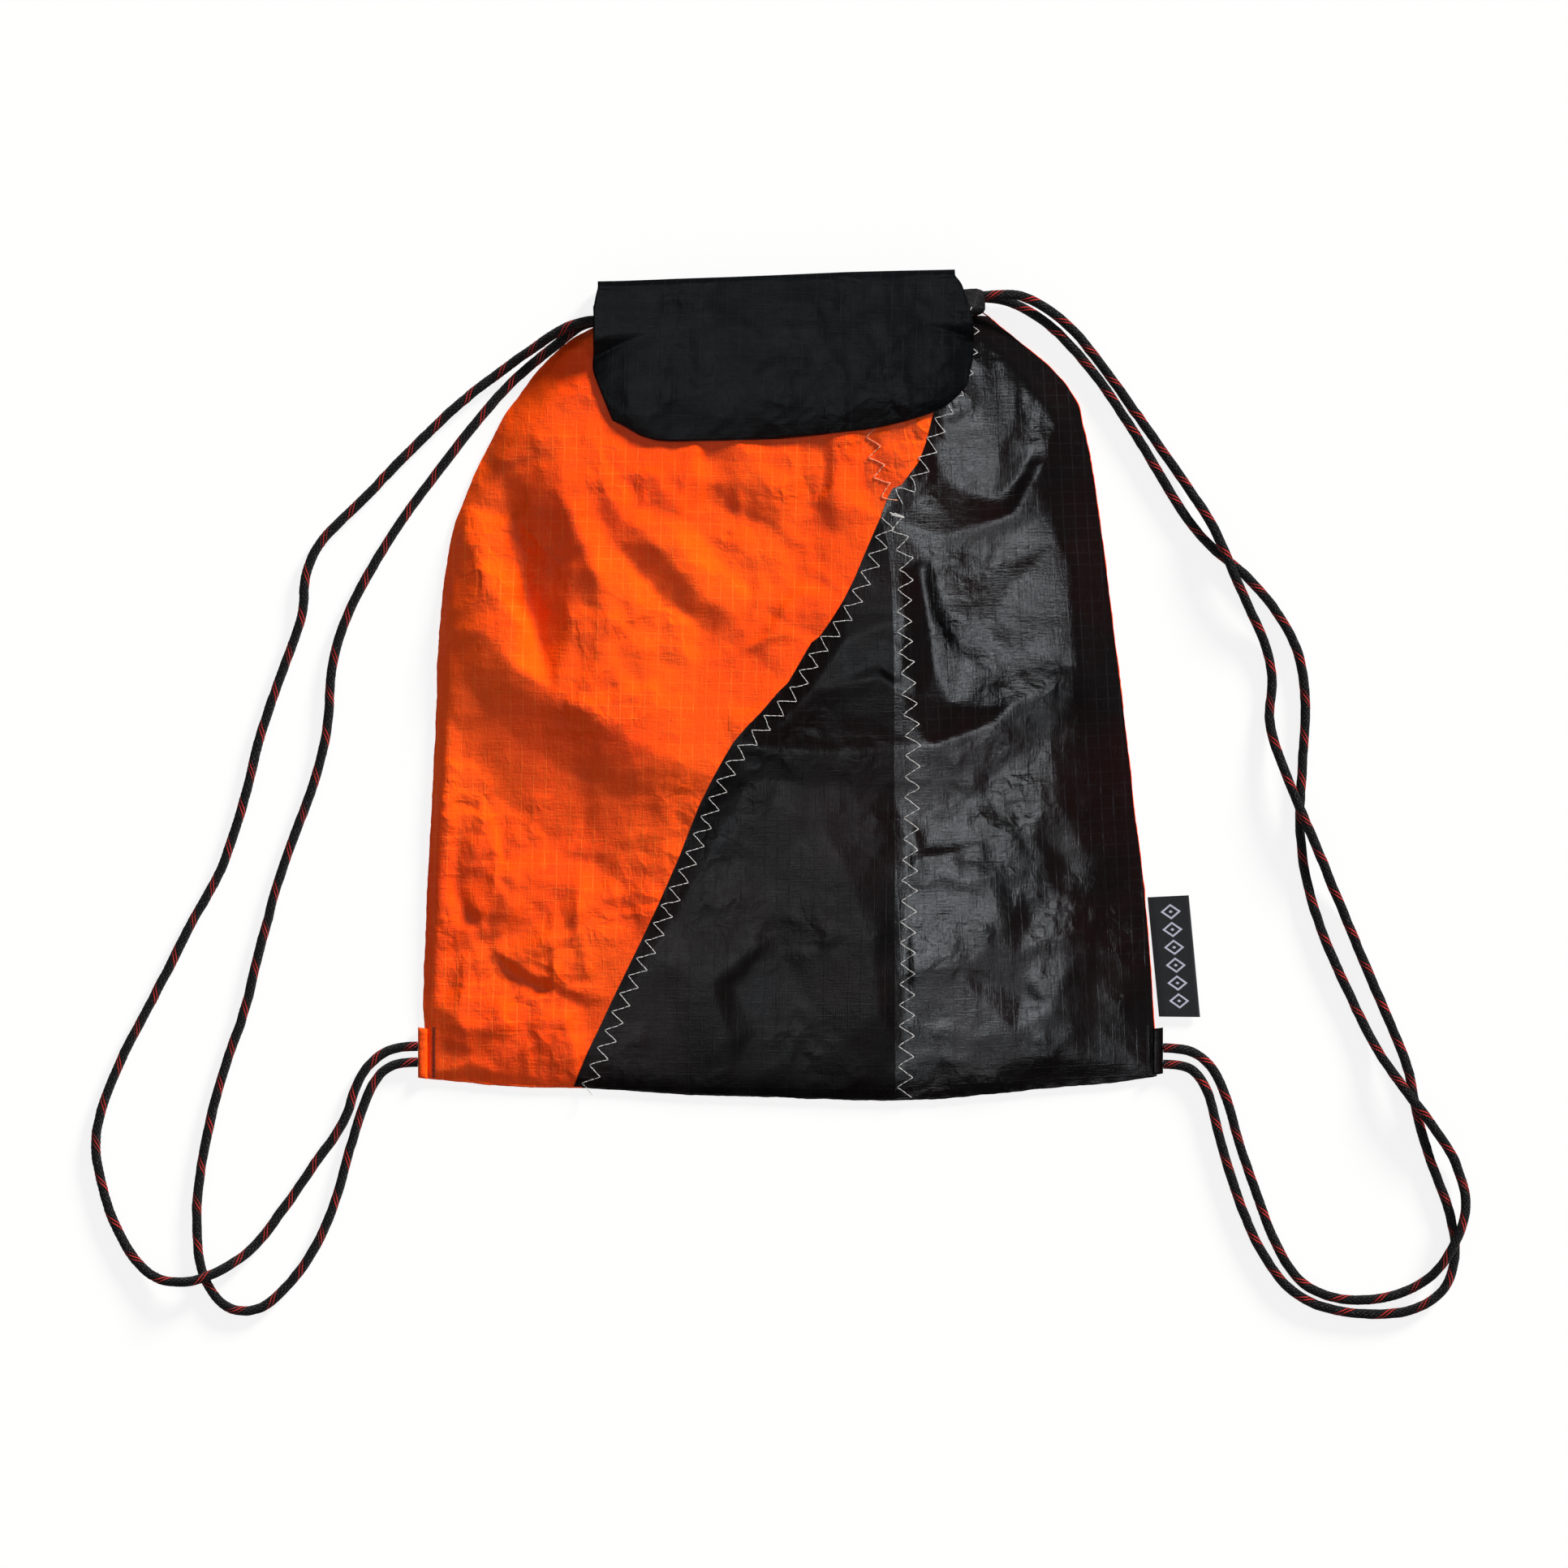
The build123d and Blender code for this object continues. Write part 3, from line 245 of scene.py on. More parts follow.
diagonal_thread = [
    (-101.6, -200.0), (-96.4, -188.0), (-89.6, -173.2), (-83.6, -157.2), (-76.0, -141.2), (-68.8, -126.8), (-60.8, -108.8), (-52.8, -92.4),
    (-45.6, -75.2), (-40.0, -62.0), (-34.4, -48.8), (-28.4, -37.2), (-20.4, -27.6), (-11.2, -17.2), (-4.0, -9.6), (2.0, -2.4),
    (8.8, 8.8), (14.0, 18.4), (22.0, 27.6), (30.0, 39.6), (35.2, 50.8), (39.6, 60.4), (44.4, 72.4), (48.0, 82.0),
]
upper_diagonal_thread = [
    (51.2, 90.8), (54.4, 95.6), (60.4, 98.8), (63.6, 106.0), (66.8, 114.0), (71.6, 125.2), (75.2, 134.0), (80.8, 143.2),
    (85.2, 153.2), (87.6, 166.0), (88.4, 178.0), (86.4, 190.0),
]
upright_thread = [
    (55.2, -202.8), (56.0, -182.0), (56.4, -162.0), (56.8, -122.0), (57.6, -94.0), (58.8, -54.0), (59.2, -29.2), (57.2, -1.6),
    (55.2, 21.2), (54.8, 39.6), (56.4, 56.8), (54.0, 70.4), (50.4, 82.0),
]
upper_upright_thread = [
    (48.8, 89.2), (45.6, 95.6), (42.8, 104.0), (40.4, 114.0), (39.2, 124.0), (36.8, 138.0),
]

# ------------------------------------------------------------------ small tools
neck_centre = np.array((-1.45, 185.0))
neck_turn = math.radians(1.91)
neck_x = np.array((math.cos(neck_turn), math.sin(neck_turn)))
neck_y = np.array((-math.sin(neck_turn), math.cos(neck_turn)))


def to_neck(xy):
    d = np.asarray(xy, float)[..., :2] - neck_centre
    return np.stack((d @ neck_x, d @ neck_y), -1)


def from_neck(x, y, z):
    x, y, z = np.broadcast_arrays(np.asarray(x, float), y, z)
    return np.stack((neck_centre[0] + x * neck_x[0] + y * neck_y[0], neck_centre[1] + x * neck_x[1] + y * neck_y[1], z), -1)


def resample(points, step, closed=False):
    """Points at equal steps along a polyline."""
    p = np.asarray(points, float)
    if closed:
        p = np.vstack((p, p[:1]))
    s = np.concatenate(((0,), np.cumsum(np.linalg.norm(np.diff(p, axis=0), axis=1))))
    n = max(2, int(round(s[-1] / step)) + 1)
    t = np.linspace(0, s[-1], n)
    out = np.stack([np.interp(t, s, p[:, k]) for k in range(p.shape[1])], -1)
    return out[:-1] if closed else out


def rounded(points, step, closed=False, softness=2.0):
    """A polyline with its corners softened, sampled evenly."""
    p = resample(points, step, closed)
    n = max(1, int(softness / step * 2))
    for _ in range(n):
        if closed:
            p = 0.5 * p + 0.25 * (np.roll(p, 1, 0) + np.roll(p, -1, 0))
        else:
            p[1:-1] = 0.5 * p[1:-1] + 0.25 * (p[:-2] + p[2:])
    return p


def make_object(name, verts, faces, smooth=True, uv=None):
    """A mesh object from millimetre points."""
    mesh = bpy.data.meshes.new(name)
    v = np.asarray(verts, np.float32) * MM
    f = np.asarray(faces, np.int32)
    mesh.vertices.add(len(v))
    mesh.vertices.foreach_set("co", v.ravel())
    k = f.shape[1]
    mesh.loops.add(len(f) * k)
    mesh.loops.foreach_set("vertex_index", f.ravel())
    mesh.polygons.add(len(f))
    mesh.polygons.foreach_set("loop_start", np.arange(0, len(f) * k, k, dtype=np.int32))
    if uv is not None:
        layer = mesh.uv_layers.new(name="cord")
        layer.data.foreach_set("uv", np.asarray(uv, np.float32).ravel())
    mesh.update(calc_edges=True)
    mesh.validate()
    if smooth:
        mesh.polygons.foreach_set("use_smooth", np.ones(len(mesh.polygons), bool))
    obj = bpy.data.objects.new(name, mesh)
    scene.collection.objects.link(obj)
    return obj


def grid_faces(rows, cols, close_cols=False):
    r = np.arange(rows - 1)[:, None]
    c = np.arange(cols if close_cols else cols - 1)[None, :]
    c2 = (c + 1) % cols
    a, b, d, e = r * cols + c, r * cols + c2, (r + 1) * cols + c2, (r + 1) * cols + c
    return np.stack((a, b, d, e), -1).reshape(-1, 4)


def clean(obj, distance=0.00002):
    """Joins doubled points and removes faces with no area."""
    bm = bmesh.new()
    bm.from_mesh(obj.data)
    bmesh.ops.remove_doubles(bm, verts=bm.verts, dist=distance)
    bmesh.ops.dissolve_degenerate(bm, edges=bm.edges, dist=distance / 2)
    loose = [v for v in bm.verts if not v.link_faces]
    bmesh.ops.delete(bm, geom=loose, context="VERTS")
    bm.to_mesh(obj.data)
    bm.free()
    return obj


def thicken(obj, thickness, offset=-1.0):
    """Gives a sheet its cloth thickness as a closed skin."""
    mod = obj.modifiers.new("thickness", "SOLIDIFY")
    mod.thickness = thickness * MM
    mod.offset = offset
    mod.use_quality_normals = True
    bpy.context.view_layer.update()
    done = bpy.data.meshes.new_from_object(obj.evaluated_get(bpy.context.evaluated_depsgraph_get()))
    obj.modifiers.clear()
    old = obj.data
    obj.data = done
    bpy.data.meshes.remove(old)
    return obj


def frames_along(path):
    """Two unit vectors across each point of a path, with no twist."""
    t = np.gradient(path, axis=0)
    t /= np.linalg.norm(t, axis=1)[:, None]
    u = np.empty_like(t)
    start = np.array((0.0, 0.0, 1.0)) if abs(t[0, 2]) < 0.8 else np.array((1.0, 0.0, 0.0))
    u[0] = start - t[0] * (start @ t[0])
    u[0] /= np.linalg.norm(u[0])
    for i in range(1, len(t)):
        w = u[i - 1] - t[i] * (u[i - 1] @ t[i])
        u[i] = w / np.linalg.norm(w)
    return t, u, np.cross(t, u)


def tube(path, radius, segments=8, flatten=1.0):
    """Verts and faces of a closed round tube along path."""
    t, u, w = frames_along(path)
    a = np.linspace(0, 2 * math.pi, segments, endpoint=False)
    r = np.broadcast_to(np.asarray(radius, float).reshape(-1, 1), (len(path), segments))
    ring = path[:, None] + r[..., None] * (np.cos(a)[None, :, None] * u[:, None] * flatten + np.sin(a)[None, :, None] * w[:, None])
    verts = ring.reshape(-1, 3)
    faces = grid_faces(len(path), segments, True)
    n = len(verts)
    verts = np.vstack((verts, path[:1], path[-1:]))
    idx = np.arange(segments)
    nxt = (idx + 1) % segments
    last = (len(path) - 1) * segments
    caps = np.vstack((np.stack((nxt, idx, np.full(segments, n), np.full(segments, n)), -1), np.stack((last + idx, last + nxt, np.full(segments, n + 1), np.full(segments, n + 1)), -1)))
    return verts, faces, caps


def tubes_object(name, paths, radius, segments=6):
    verts, faces, offset = [], [], 0
    for path in paths:
        v, f, caps = tube(path, radius, segments)
        verts.append(v)
        faces.append(f + offset)
        faces.append(caps + offset)
        offset += len(v)
    obj = make_object(name, np.vstack(verts), np.vstack(faces))
    return clean(obj, 0.000001)


def noise1(x, seed, octaves=3):
    """Smooth noise along one direction, about -1 to 1."""
    rng = np.random.default_rng(seed)
    total, amp = 0, 1.0
    for k in range(octaves):
        values = rng.uniform(-1, 1, 4096)
        t = np.asarray(x) * 2**k + 1000.5
        i = np.floor(t).astype(int)
        f = t - i
        f = f * f * (3 - 2 * f)
        total = total + amp * (values[i % 4096] * (1 - f) + values[(i + 1) % 4096] * f)
        amp *= 0.5
    return total / 1.6


# ------------------------------------------------------------------ cords
def spline_path(name, route):
    """Points along the smooth line whose control points are the route."""
    curve = bpy.data.curves.new(name, "CURVE")
    curve.dimensions = "3D"
    spline = curve.splines.new("NURBS")
    spline.points.add(len(route) - 1)
    for point, co in zip(spline.points, route):
        point.co = (co[0] * MM, co[1] * MM, co[2] * MM, 1)
    spline.order_u = 3
    spline.use_endpoint_u = True
    spline.resolution_u = 40
    holder = bpy.data.objects.new(name, curve)
    scene.collection.objects.link(holder)
    bpy.context.view_layer.update()
    mesh = bpy.data.meshes.new_from_object(holder.evaluated_get(bpy.context.evaluated_depsgraph_get()))
    co = np.array([v.co for v in mesh.vertices])
    bpy.data.meshes.remove(mesh)
    bpy.data.objects.remove(holder)
    return co / MM


def braided_cord(name, route, seed):
    line = spline_path(name + "_line", route)
    path = resample(line, 0.5)
    s = np.arange(len(path)) * 0.5
    t, u, w = frames_along(path)
    # the small kinks and the uneven width that a soft braid has
    ease = np.clip(np.minimum(s, s[-1] - s) / 12, 0, 1)[:, None]
    flat = np.stack((-t[:, 1], t[:, 0], np.zeros(len(t))), -1)
    path = path + flat * (0.22 * noise1(s / 9, seed) + 0.10 * noise1(s / 3.5, seed + 1))[:, None] * ease
    t, u, w = frames_along(path)
    radius = 2.33 * (1 + 0.035 * noise1(s / 6, seed + 2) + 0.03 * noise1(s / 25, seed + 3))
    n = 24
    a = np.linspace(0, 2 * math.pi, n + 1)
    cells = 8
    one = np.sin(cells * a[None] + 2 * math.pi * s[:, None] / 2.6 * 1.0)
    two = np.sin(cells * a[None] - 2 * math.pi * s[:, None] / 2.6 * 1.0)
    relief = np.maximum(one, two)
    r = radius[:, None] + 0.10 * relief - 0.05
    ring = path[:, None] + r[..., None] * (np.cos(a)[None, :, None] * u[:, None] + np.sin(a)[None, :, None] * w[:, None])
    # nothing sinks into the floor that the cord lies on
    ring[..., 2] = np.maximum(ring[..., 2], 0.02)
    rows, cols = ring.shape[:2]
    verts = ring[:, :-1].reshape(-1, 3)
    c = cols - 1
    rr = np.arange(rows - 1)[:, None]
    cc = np.arange(c)[None]
    c2 = (cc + 1) % c
    faces = np.stack((rr * c + cc, rr * c + c2, (rr + 1) * c + c2, (rr + 1) * c + cc), -1).reshape(-1, 4)
    v0 = np.broadcast_to(s[:-1][:, None] / 1000, (rows - 1, c))
    v1 = np.broadcast_to(s[1:][:, None] / 1000, (rows - 1, c))
    u0 = np.broadcast_to(cc / c, (rows - 1, c))
    u1 = u0 + 1 / c
    uv = np.stack((np.stack((u0, v0), -1), np.stack((u1, v0), -1), np.stack((u1, v1), -1), np.stack((u0, v1), -1)), 2).reshape(-1, 2)
    obj = make_object(name, verts, faces, uv=uv)
    return obj, resample(path, 3.0) * MM, s[-1] * MM


# ------------------------------------------------------------------ materials
def principled(name, colour, rough, specular=0.5, sheen=0.0, coat=0.0):
    m = bpy.data.materials.new(name)
    m.use_nodes = True
    b = m.node_tree.nodes["Principled BSDF"]
    b.inputs["Base Color"].default_value = (*colour, 1)
    b.inputs["Roughness"].default_value = rough
    b.inputs["Specular IOR Level"].default_value = specular
    b.inputs["Sheen Weight"].default_value = sheen
    b.inputs["Coat Weight"].default_value = coat
    return m


class Graph:
    def __init__(self, material):
        self.t = material.node_tree
        self.bsdf = self.t.nodes["Principled BSDF"]

    def node(self, kind, **inputs):
        n = self.t.nodes.new(kind)
        for key, value in inputs.items():
            self.put(n.inputs[int(key[1:])] if key[0] == "i" and key[1:].isdigit() else n.inputs[key.replace("_", " ")], value)
        return n

    def put(self, socket, value):
        if isinstance(value, bpy.types.NodeSocket):
            self.t.links.new(value, socket)
        else:
            socket.default_value = value

    def math(self, op, a, b=None, c=None):
        n = self.t.nodes.new("ShaderNodeMath")
        n.operation = op
        for k, value in enumerate((a, b, c)):
            if value is not None:
                self.put(n.inputs[k], value)
        return n.outputs[0]

    def ramp(self, value, low, high, to_low=0.0, to_high=1.0):
        n = self.t.nodes.new("ShaderNodeMapRange")
        n.interpolation_type = "SMOOTHSTEP"
        for k, v in enumerate((value, low, high, to_low, to_high)):
            self.put(n.inputs[k], v)
        return n.outputs[0]

    def noise(self, vector, scale, detail=3.0, rough=0.55):
        n = self.t.nodes.new("ShaderNodeTexNoise")
        self.put(n.inputs["Vector"], vector)
        n.inputs["Scale"].default_value = scale
        n.inputs["Detail"].default_value = detail
        n.inputs["Roughness"].default_value = rough
        return n.outputs["Fac"]

    def mix(self, fac, a, b):
        n = self.t.nodes.new("ShaderNodeMix")
        n.data_type = "RGBA"
        self.put(n.inputs[0], fac)
        self.put(n.inputs[6], a if isinstance(a, bpy.types.NodeSocket) else (*a, 1))
        self.put(n.inputs[7], b if isinstance(b, bpy.types.NodeSocket) else (*b, 1))
        return n.outputs[2]

    def placed(self, scale=(1, 1, 1), turn=0.0, move=(0, 0, 0)):
        n = self.t.nodes.new("ShaderNodeMapping")
        self.t.links.new(self.t.nodes.new("ShaderNodeTexCoord").outputs["Object"], n.inputs[0])
        n.inputs["Location"].default_value = move
        n.inputs["Rotation"].default_value = (0, 0, turn)
        n.inputs["Scale"].default_value = scale
        return n.outputs[0]

    def bump(self, height, strength, distance, normal=None):
        n = self.t.nodes.new("ShaderNodeBump")
        n.inputs["Strength"].default_value = strength
        n.inputs["Distance"].default_value = distance
        self.put(n.inputs["Height"], height)
        if normal is not None:
            self.put(n.inputs["Normal"], normal)
        return n.outputs[0]


def ripstop(name, body, dark, line, rough, turn=0.0, move=(0.0, 0.0, 0.0), line_mix=0.4, crinkle=0.5, specular=0.5, sheen=0.0, square=0.006):
    """Calendered ripstop: a fine plain weave with a heavier thread every few millimetres both ways, crackled by use."""
    m = principled(name, body, rough, specular, sheen)
    g = Graph(m)
    place = g.placed(turn=turn, move=move)
    sep = g.node("ShaderNodeSeparateXYZ", Vector=place)
    wander = g.noise(g.placed(move=(3.1, 1.7, 0.4)), 30.0, 1.0)
    shift = g.math("MULTIPLY", g.math("SUBTRACT", wander, 0.5), 0.0012)
    x = g.math("ADD", sep.outputs[0], shift)
    y = g.math("ADD", sep.outputs[1], shift)
    near_x = g.math("PINGPONG", x, square / 2)
    near_y = g.math("PINGPONG", y, square / 2)
    line_x = g.ramp(near_x, 0.00012, 0.00042, 1.0, 0.0)
    line_y = g.ramp(near_y, 0.00012, 0.00042, 1.0, 0.0)
    # the threads fade in and out along their length
    fade = g.ramp(g.noise(g.placed(move=(7.0, 2.0, 1.0)), 55.0, 2.0), 0.35, 0.7)
    grid = g.math("MULTIPLY", g.math("MAXIMUM", line_x, g.math("MULTIPLY", line_y, 0.6)), g.math("ADD", g.math("MULTIPLY", fade, 0.75), 0.25))
    patch = g.ramp(g.noise(g.placed(move=(1.0, 5.0, 2.0)), 14.0, 3.0), 0.3, 0.72)
    colour = g.mix(patch, body, dark)
    # fine scratches where the coating has cracked along the warp and the weft
    warp = g.noise(g.placed(scale=(5.5, 0.9, 1.0), turn=turn, move=(0.3, 0, 0)), 210.0, 4.0, 0.65)
    weft = g.noise(g.placed(scale=(0.9, 5.5, 1.0), turn=turn, move=(0, 0.7, 0)), 190.0, 4.0, 0.65)
    streak = g.math("MULTIPLY", g.ramp(warp, 0.55, 0.8), 0.3)
    colour = g.mix(streak, colour, line)
    colour = g.mix(g.math("MULTIPLY", grid, line_mix), colour, line)
    g.put(g.bsdf.inputs["Base Color"], colour)
    g.put(g.bsdf.inputs["Roughness"], g.ramp(g.noise(g.placed(move=(4, 4, 4)), 70.0, 4.0), 0.25, 0.75, rough - 0.03, rough + 0.06))
    threads = g.math("ADD", g.math("SINE", g.math("MULTIPLY", x, 2 * math.pi / 0.00055)), g.math("SINE", g.math("MULTIPLY", y, 2 * math.pi / 0.00055)))
    n1 = g.bump(threads, 0.10, 0.00006)
    n2 = g.bump(grid, 0.5, 0.00012, n1)
    n3 = g.bump(g.math("ADD", warp, weft), crinkle, 0.00055, n2)
    n4 = g.bump(g.noise(g.placed(move=(0, 0, 3)), 95.0, 4.0, 0.5), crinkle, 0.0010, n3)
    # small flat-sided creases, more of them in some places than others
    bent = g.t.nodes.new("ShaderNodeTexNoise")
    bent.inputs["Scale"].default_value = 60.0
    bent.inputs["Detail"].default_value = 2.0
    g.put(bent.inputs["Vector"], place)
    warp_by = g.t.nodes.new("ShaderNodeVectorMath")
    warp_by.operation = "MULTIPLY_ADD"
    g.put(warp_by.inputs[0], bent.outputs["Color"])
    warp_by.inputs[1].default_value = (0.016, 0.016, 0.0)
    g.put(warp_by.inputs[2], place)
    busy_here = g.ramp(g.noise(g.placed(move=(2.0, 8.0, 0.0)), 22.0, 2.0), 0.42, 0.68)
    last = n4
    for size, depth, metric in ((62.0, 0.0015, "MANHATTAN"), (150.0, 0.0007, "CHEBYCHEV")):
        cells = g.t.nodes.new("ShaderNodeTexVoronoi")
        cells.distance = metric
        cells.inputs["Scale"].default_value = size
        g.put(cells.inputs["Vector"], warp_by.outputs[0])
        last = g.bump(g.math("MULTIPLY", cells.outputs["Distance"], busy_here), min(1.0, crinkle * 2.2), depth, last)
    g.put(g.bsdf.inputs["Normal"], last)
    return m


def thread_material(name, colour, dark, rough=0.55):
    m = principled(name, colour, rough, 0.4, 0.2)
    g = Graph(m)
    twist = g.noise(g.placed(), 2600.0, 2.0)
    g.put(g.bsdf.inputs["Base Color"], g.mix(g.ramp(twist, 0.35, 0.65), colour, dark))
    g.put(g.bsdf.inputs["Normal"], g.bump(twist, 0.5, 0.0001))
    return m


def cord_material():
    """Black polyester braid with a pair of red tracer strands that wind round it."""
    m = principled("cord_braid", (0.012, 0.012, 0.013), 0.5, 0.22, 0.04)
    g = Graph(m)
    uv = g.t.nodes.new("ShaderNodeUVMap")
    uv.uv_map = "cord"
    sep = g.node("ShaderNodeSeparateXYZ", Vector=uv.outputs[0])
    around, along = sep.outputs[0], sep.outputs[1]
    turn8 = g.math("MULTIPLY", around, 8 * 2 * math.pi)
    run = g.math("MULTIPLY", along, 2 * math.pi / 0.0026)
    one = g.math("SINE", g.math("ADD", turn8, run))
    two = g.math("SINE", g.math("SUBTRACT", turn8, run))
    over = g.math("MAXIMUM", one, two)
    fine = g.math("SINE", g.math("ADD", g.math("MULTIPLY", around, 48 * 2 * math.pi), g.math("MULTIPLY", along, 2 * math.pi / 0.0011)))
    speck = g.ramp(g.noise(g.placed(), 900.0, 2.0), 0.45, 0.7)
    # painted highlight and shade: the braid's colour is lighter on its raised strands and darker in the grooves between
    # them, broken up by random fibre specks
    top = g.math("MULTIPLY", g.ramp(over, 0.3, 0.95), g.math("ADD", g.math("MULTIPLY", speck, 0.8), 0.2))
    base = g.mix(top, (0.0025, 0.0025, 0.003), (0.038, 0.039, 0.042))
    # the tracer: a slanting band of dashes every 20 mm
    place = g.math("FRACT", g.math("ADD", g.math("MULTIPLY", along, 1 / 0.0200), g.math("MULTIPLY", around, 1.0)))
    band = g.math("MULTIPLY", g.ramp(place, 0.02, 0.06), g.ramp(place, 0.26, 0.31, 1.0, 0.0))
    dash = g.ramp(one, 0.25, 0.6)
    tracer = g.math("MULTIPLY", band, dash)
    red = g.mix(g.noise(g.placed(move=(9, 1, 0)), 160.0, 2.0), (0.62, 0.035, 0.030), (0.16, 0.010, 0.008))
    g.put(g.bsdf.inputs["Base Color"], g.mix(tracer, base, red))
    height = g.math("ADD", over, g.math("MULTIPLY", fine, 0.25))
    g.put(g.bsdf.inputs["Normal"], g.bump(height, 0.7, 0.00025))
    return m


orange_main = ripstop("orange_ripstop", (1.0, 0.088, 0.003), (0.93, 0.060, 0.002), (1.0, 0.19, 0.02), 0.42, turn=0.02, line_mix=0.45, crinkle=0.62, specular=0.14)
orange_tip = ripstop("orange_ripstop_tip", (1.0, 0.105, 0.004), (0.95, 0.07, 0.003), (1.0, 0.20, 0.02), 0.40, turn=-0.12, move=(0.002, 0.003, 0), line_mix=0.45, crinkle=0.45, specular=0.14)
orange_back = ripstop("orange_ripstop_back", (0.92, 0.055, 0.005), (0.85, 0.04, 0.003), (1.0, 0.20, 0.03), 0.45, turn=0.0)
black_main = ripstop("black_ripstop", (0.0026, 0.0023, 0.0024), (0.0060, 0.0020, 0.0020), (0.012, 0.014, 0.016), 0.32, turn=0.015, line_mix=0.35, crinkle=0.22, specular=0.17)
black_side = ripstop("black_ripstop_side", (0.0028, 0.0026, 0.0028), (0.0064, 0.0021, 0.0021), (0.016, 0.018, 0.022), 0.215, turn=-0.05, move=(0.001, 0.002, 0), line_mix=0.35, crinkle=0.28, specular=0.74)
flap_cloth = ripstop("black_flap_cloth", (0.0024, 0.0028, 0.0034), (0.0036, 0.0040, 0.0048), (0.010, 0.012, 0.015), 0.42, turn=0.03, line_mix=0.6, crinkle=0.34, specular=0.18, square=0.0062)
lining_cloth = ripstop("black_lining", (0.010, 0.006, 0.006), (0.014, 0.005, 0.004), (0.035, 0.03, 0.03), 0.5, turn=0.0, crinkle=0.4)
casing_cloth = ripstop("casing_cloth", (0.010, 0.010, 0.011), (0.016, 0.013, 0.013), (0.06, 0.06, 0.065), 0.38, turn=0.3, crinkle=0.6)
white_thread = thread_material("white_thread", (0.62, 0.61, 0.60), (0.34, 0.33, 0.33))
pale_thread = thread_material("pale_orange_thread", (0.90, 0.42, 0.25), (0.85, 0.30, 0.14))
black_thread = thread_material("black_thread", (0.012, 0.011, 0.012), (0.03, 0.025, 0.025))
cord_cloth = cord_material()


def dress(obj, material):
    obj.data.materials.clear()
    obj.data.materials.append(material)
    return obj


# the cords come first
left_cord, left_path, left_length = braided_cord("strap_cord_left", left_cord_route, 11)
right_cord, right_path, right_length = braided_cord("strap_cord_right", right_cord_route, 23)
for obj, path, length, route, node in ((left_cord, left_path, left_length, left_cord_route, "left_cord"), (right_cord, right_path, right_length, right_cord_route, "right_cord")):
    dress(obj, cord_cloth)
    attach(obj, "root")
    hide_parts(node)
    print("cord", node, round(length, 4))

# ------------------------------------------------------------------ the height of the front
CELL = 1.0
X0, Y0 = -190.0, -212.0
NX, NY = 381, 412
gx = X0 + np.arange(NX) * CELL
gy = Y0 + np.arange(NY) * CELL
GX, GY = np.meshgrid(gx, gy)


def tin(lines):
    """Heights on the raster from flat facets between the fold lines."""
    points, edges, heights = [], [], []
    index = {}
    for line in lines:
        last = None
        for x, y, z in line:
            key = (round(x, 1), round(y, 1))
            if key not in index:
                index[key] = len(points)
                points.append(Vector((x, y)))
                heights.append(z)
            i = index[key]
            if last is not None and last != i:
                edges.append((last, i))
            last = i
    co, _, tris, orig, _, _ = delaunay_2d_cdt(points, edges, [], 0, 0.01)
    z = []
    for k, sources in enumerate(orig):
        if sources:
            z.append(float(np.mean([heights[s] for s in sources])))
        else:  # two fold lines cross here
            d = [(co[k] - p).length for p in points]
            order = np.argsort(d)[:3]
            w = np.array([1 / (d[i] + 0.1) for i in order])
            z.append(float(np.dot(w, [heights[i] for i in order]) / w.sum()))
    height = np.full(GX.shape, np.nan)
    for a, b, c in tris:
        (ax, ay), (bx, by), (cx, cy) = co[a], co[b], co[c]
        lo_x, hi_x = min(ax, bx, cx), max(ax, bx, cx)
        lo_y, hi_y = min(ay, by, cy), max(ay, by, cy)
        i0, i1 = max(0, int(math.floor((lo_x - X0) / CELL))), min(NX, int(math.ceil((hi_x - X0) / CELL)) + 1)
        j0, j1 = max(0, int(math.floor((lo_y - Y0) / CELL))), min(NY, int(math.ceil((hi_y - Y0) / CELL)) + 1)
        if i0 >= i1 or j0 >= j1:
            continue
        px, py = GX[j0:j1, i0:i1], GY[j0:j1, i0:i1]
        det = (by - cy) * (ax - cx) + (cx - bx) * (ay - cy)
        if abs(det) < 1e-9:
            continue
        wa = ((by - cy) * (px - cx) + (cx - bx) * (py - cy)) / det
        wb = ((cy - ay) * (px - cx) + (ax - cx) * (py - cy)) / det
        wc = 1 - wa - wb
        inside = (wa >= -1e-6) & (wb >= -1e-6) & (wc >= -1e-6)
        part = height[j0:j1, i0:i1]
        part[inside] = (wa * z[a] + wb * z[b] + wc * z[c])[inside]
    return height


def blur(field, sigma):
    n = int(3 * sigma / CELL) + 1
    k = np.exp(-0.5 * (np.arange(-n, n + 1) * CELL / sigma) ** 2)
    k /= k.sum()
    padded = np.pad(field, n, mode="edge")
    rows = np.apply_along_axis(lambda v: np.convolve(v, k, mode="valid"), 0, padded)
    return np.apply_along_axis(lambda v: np.convolve(v, k, mode="valid"), 1, rows)


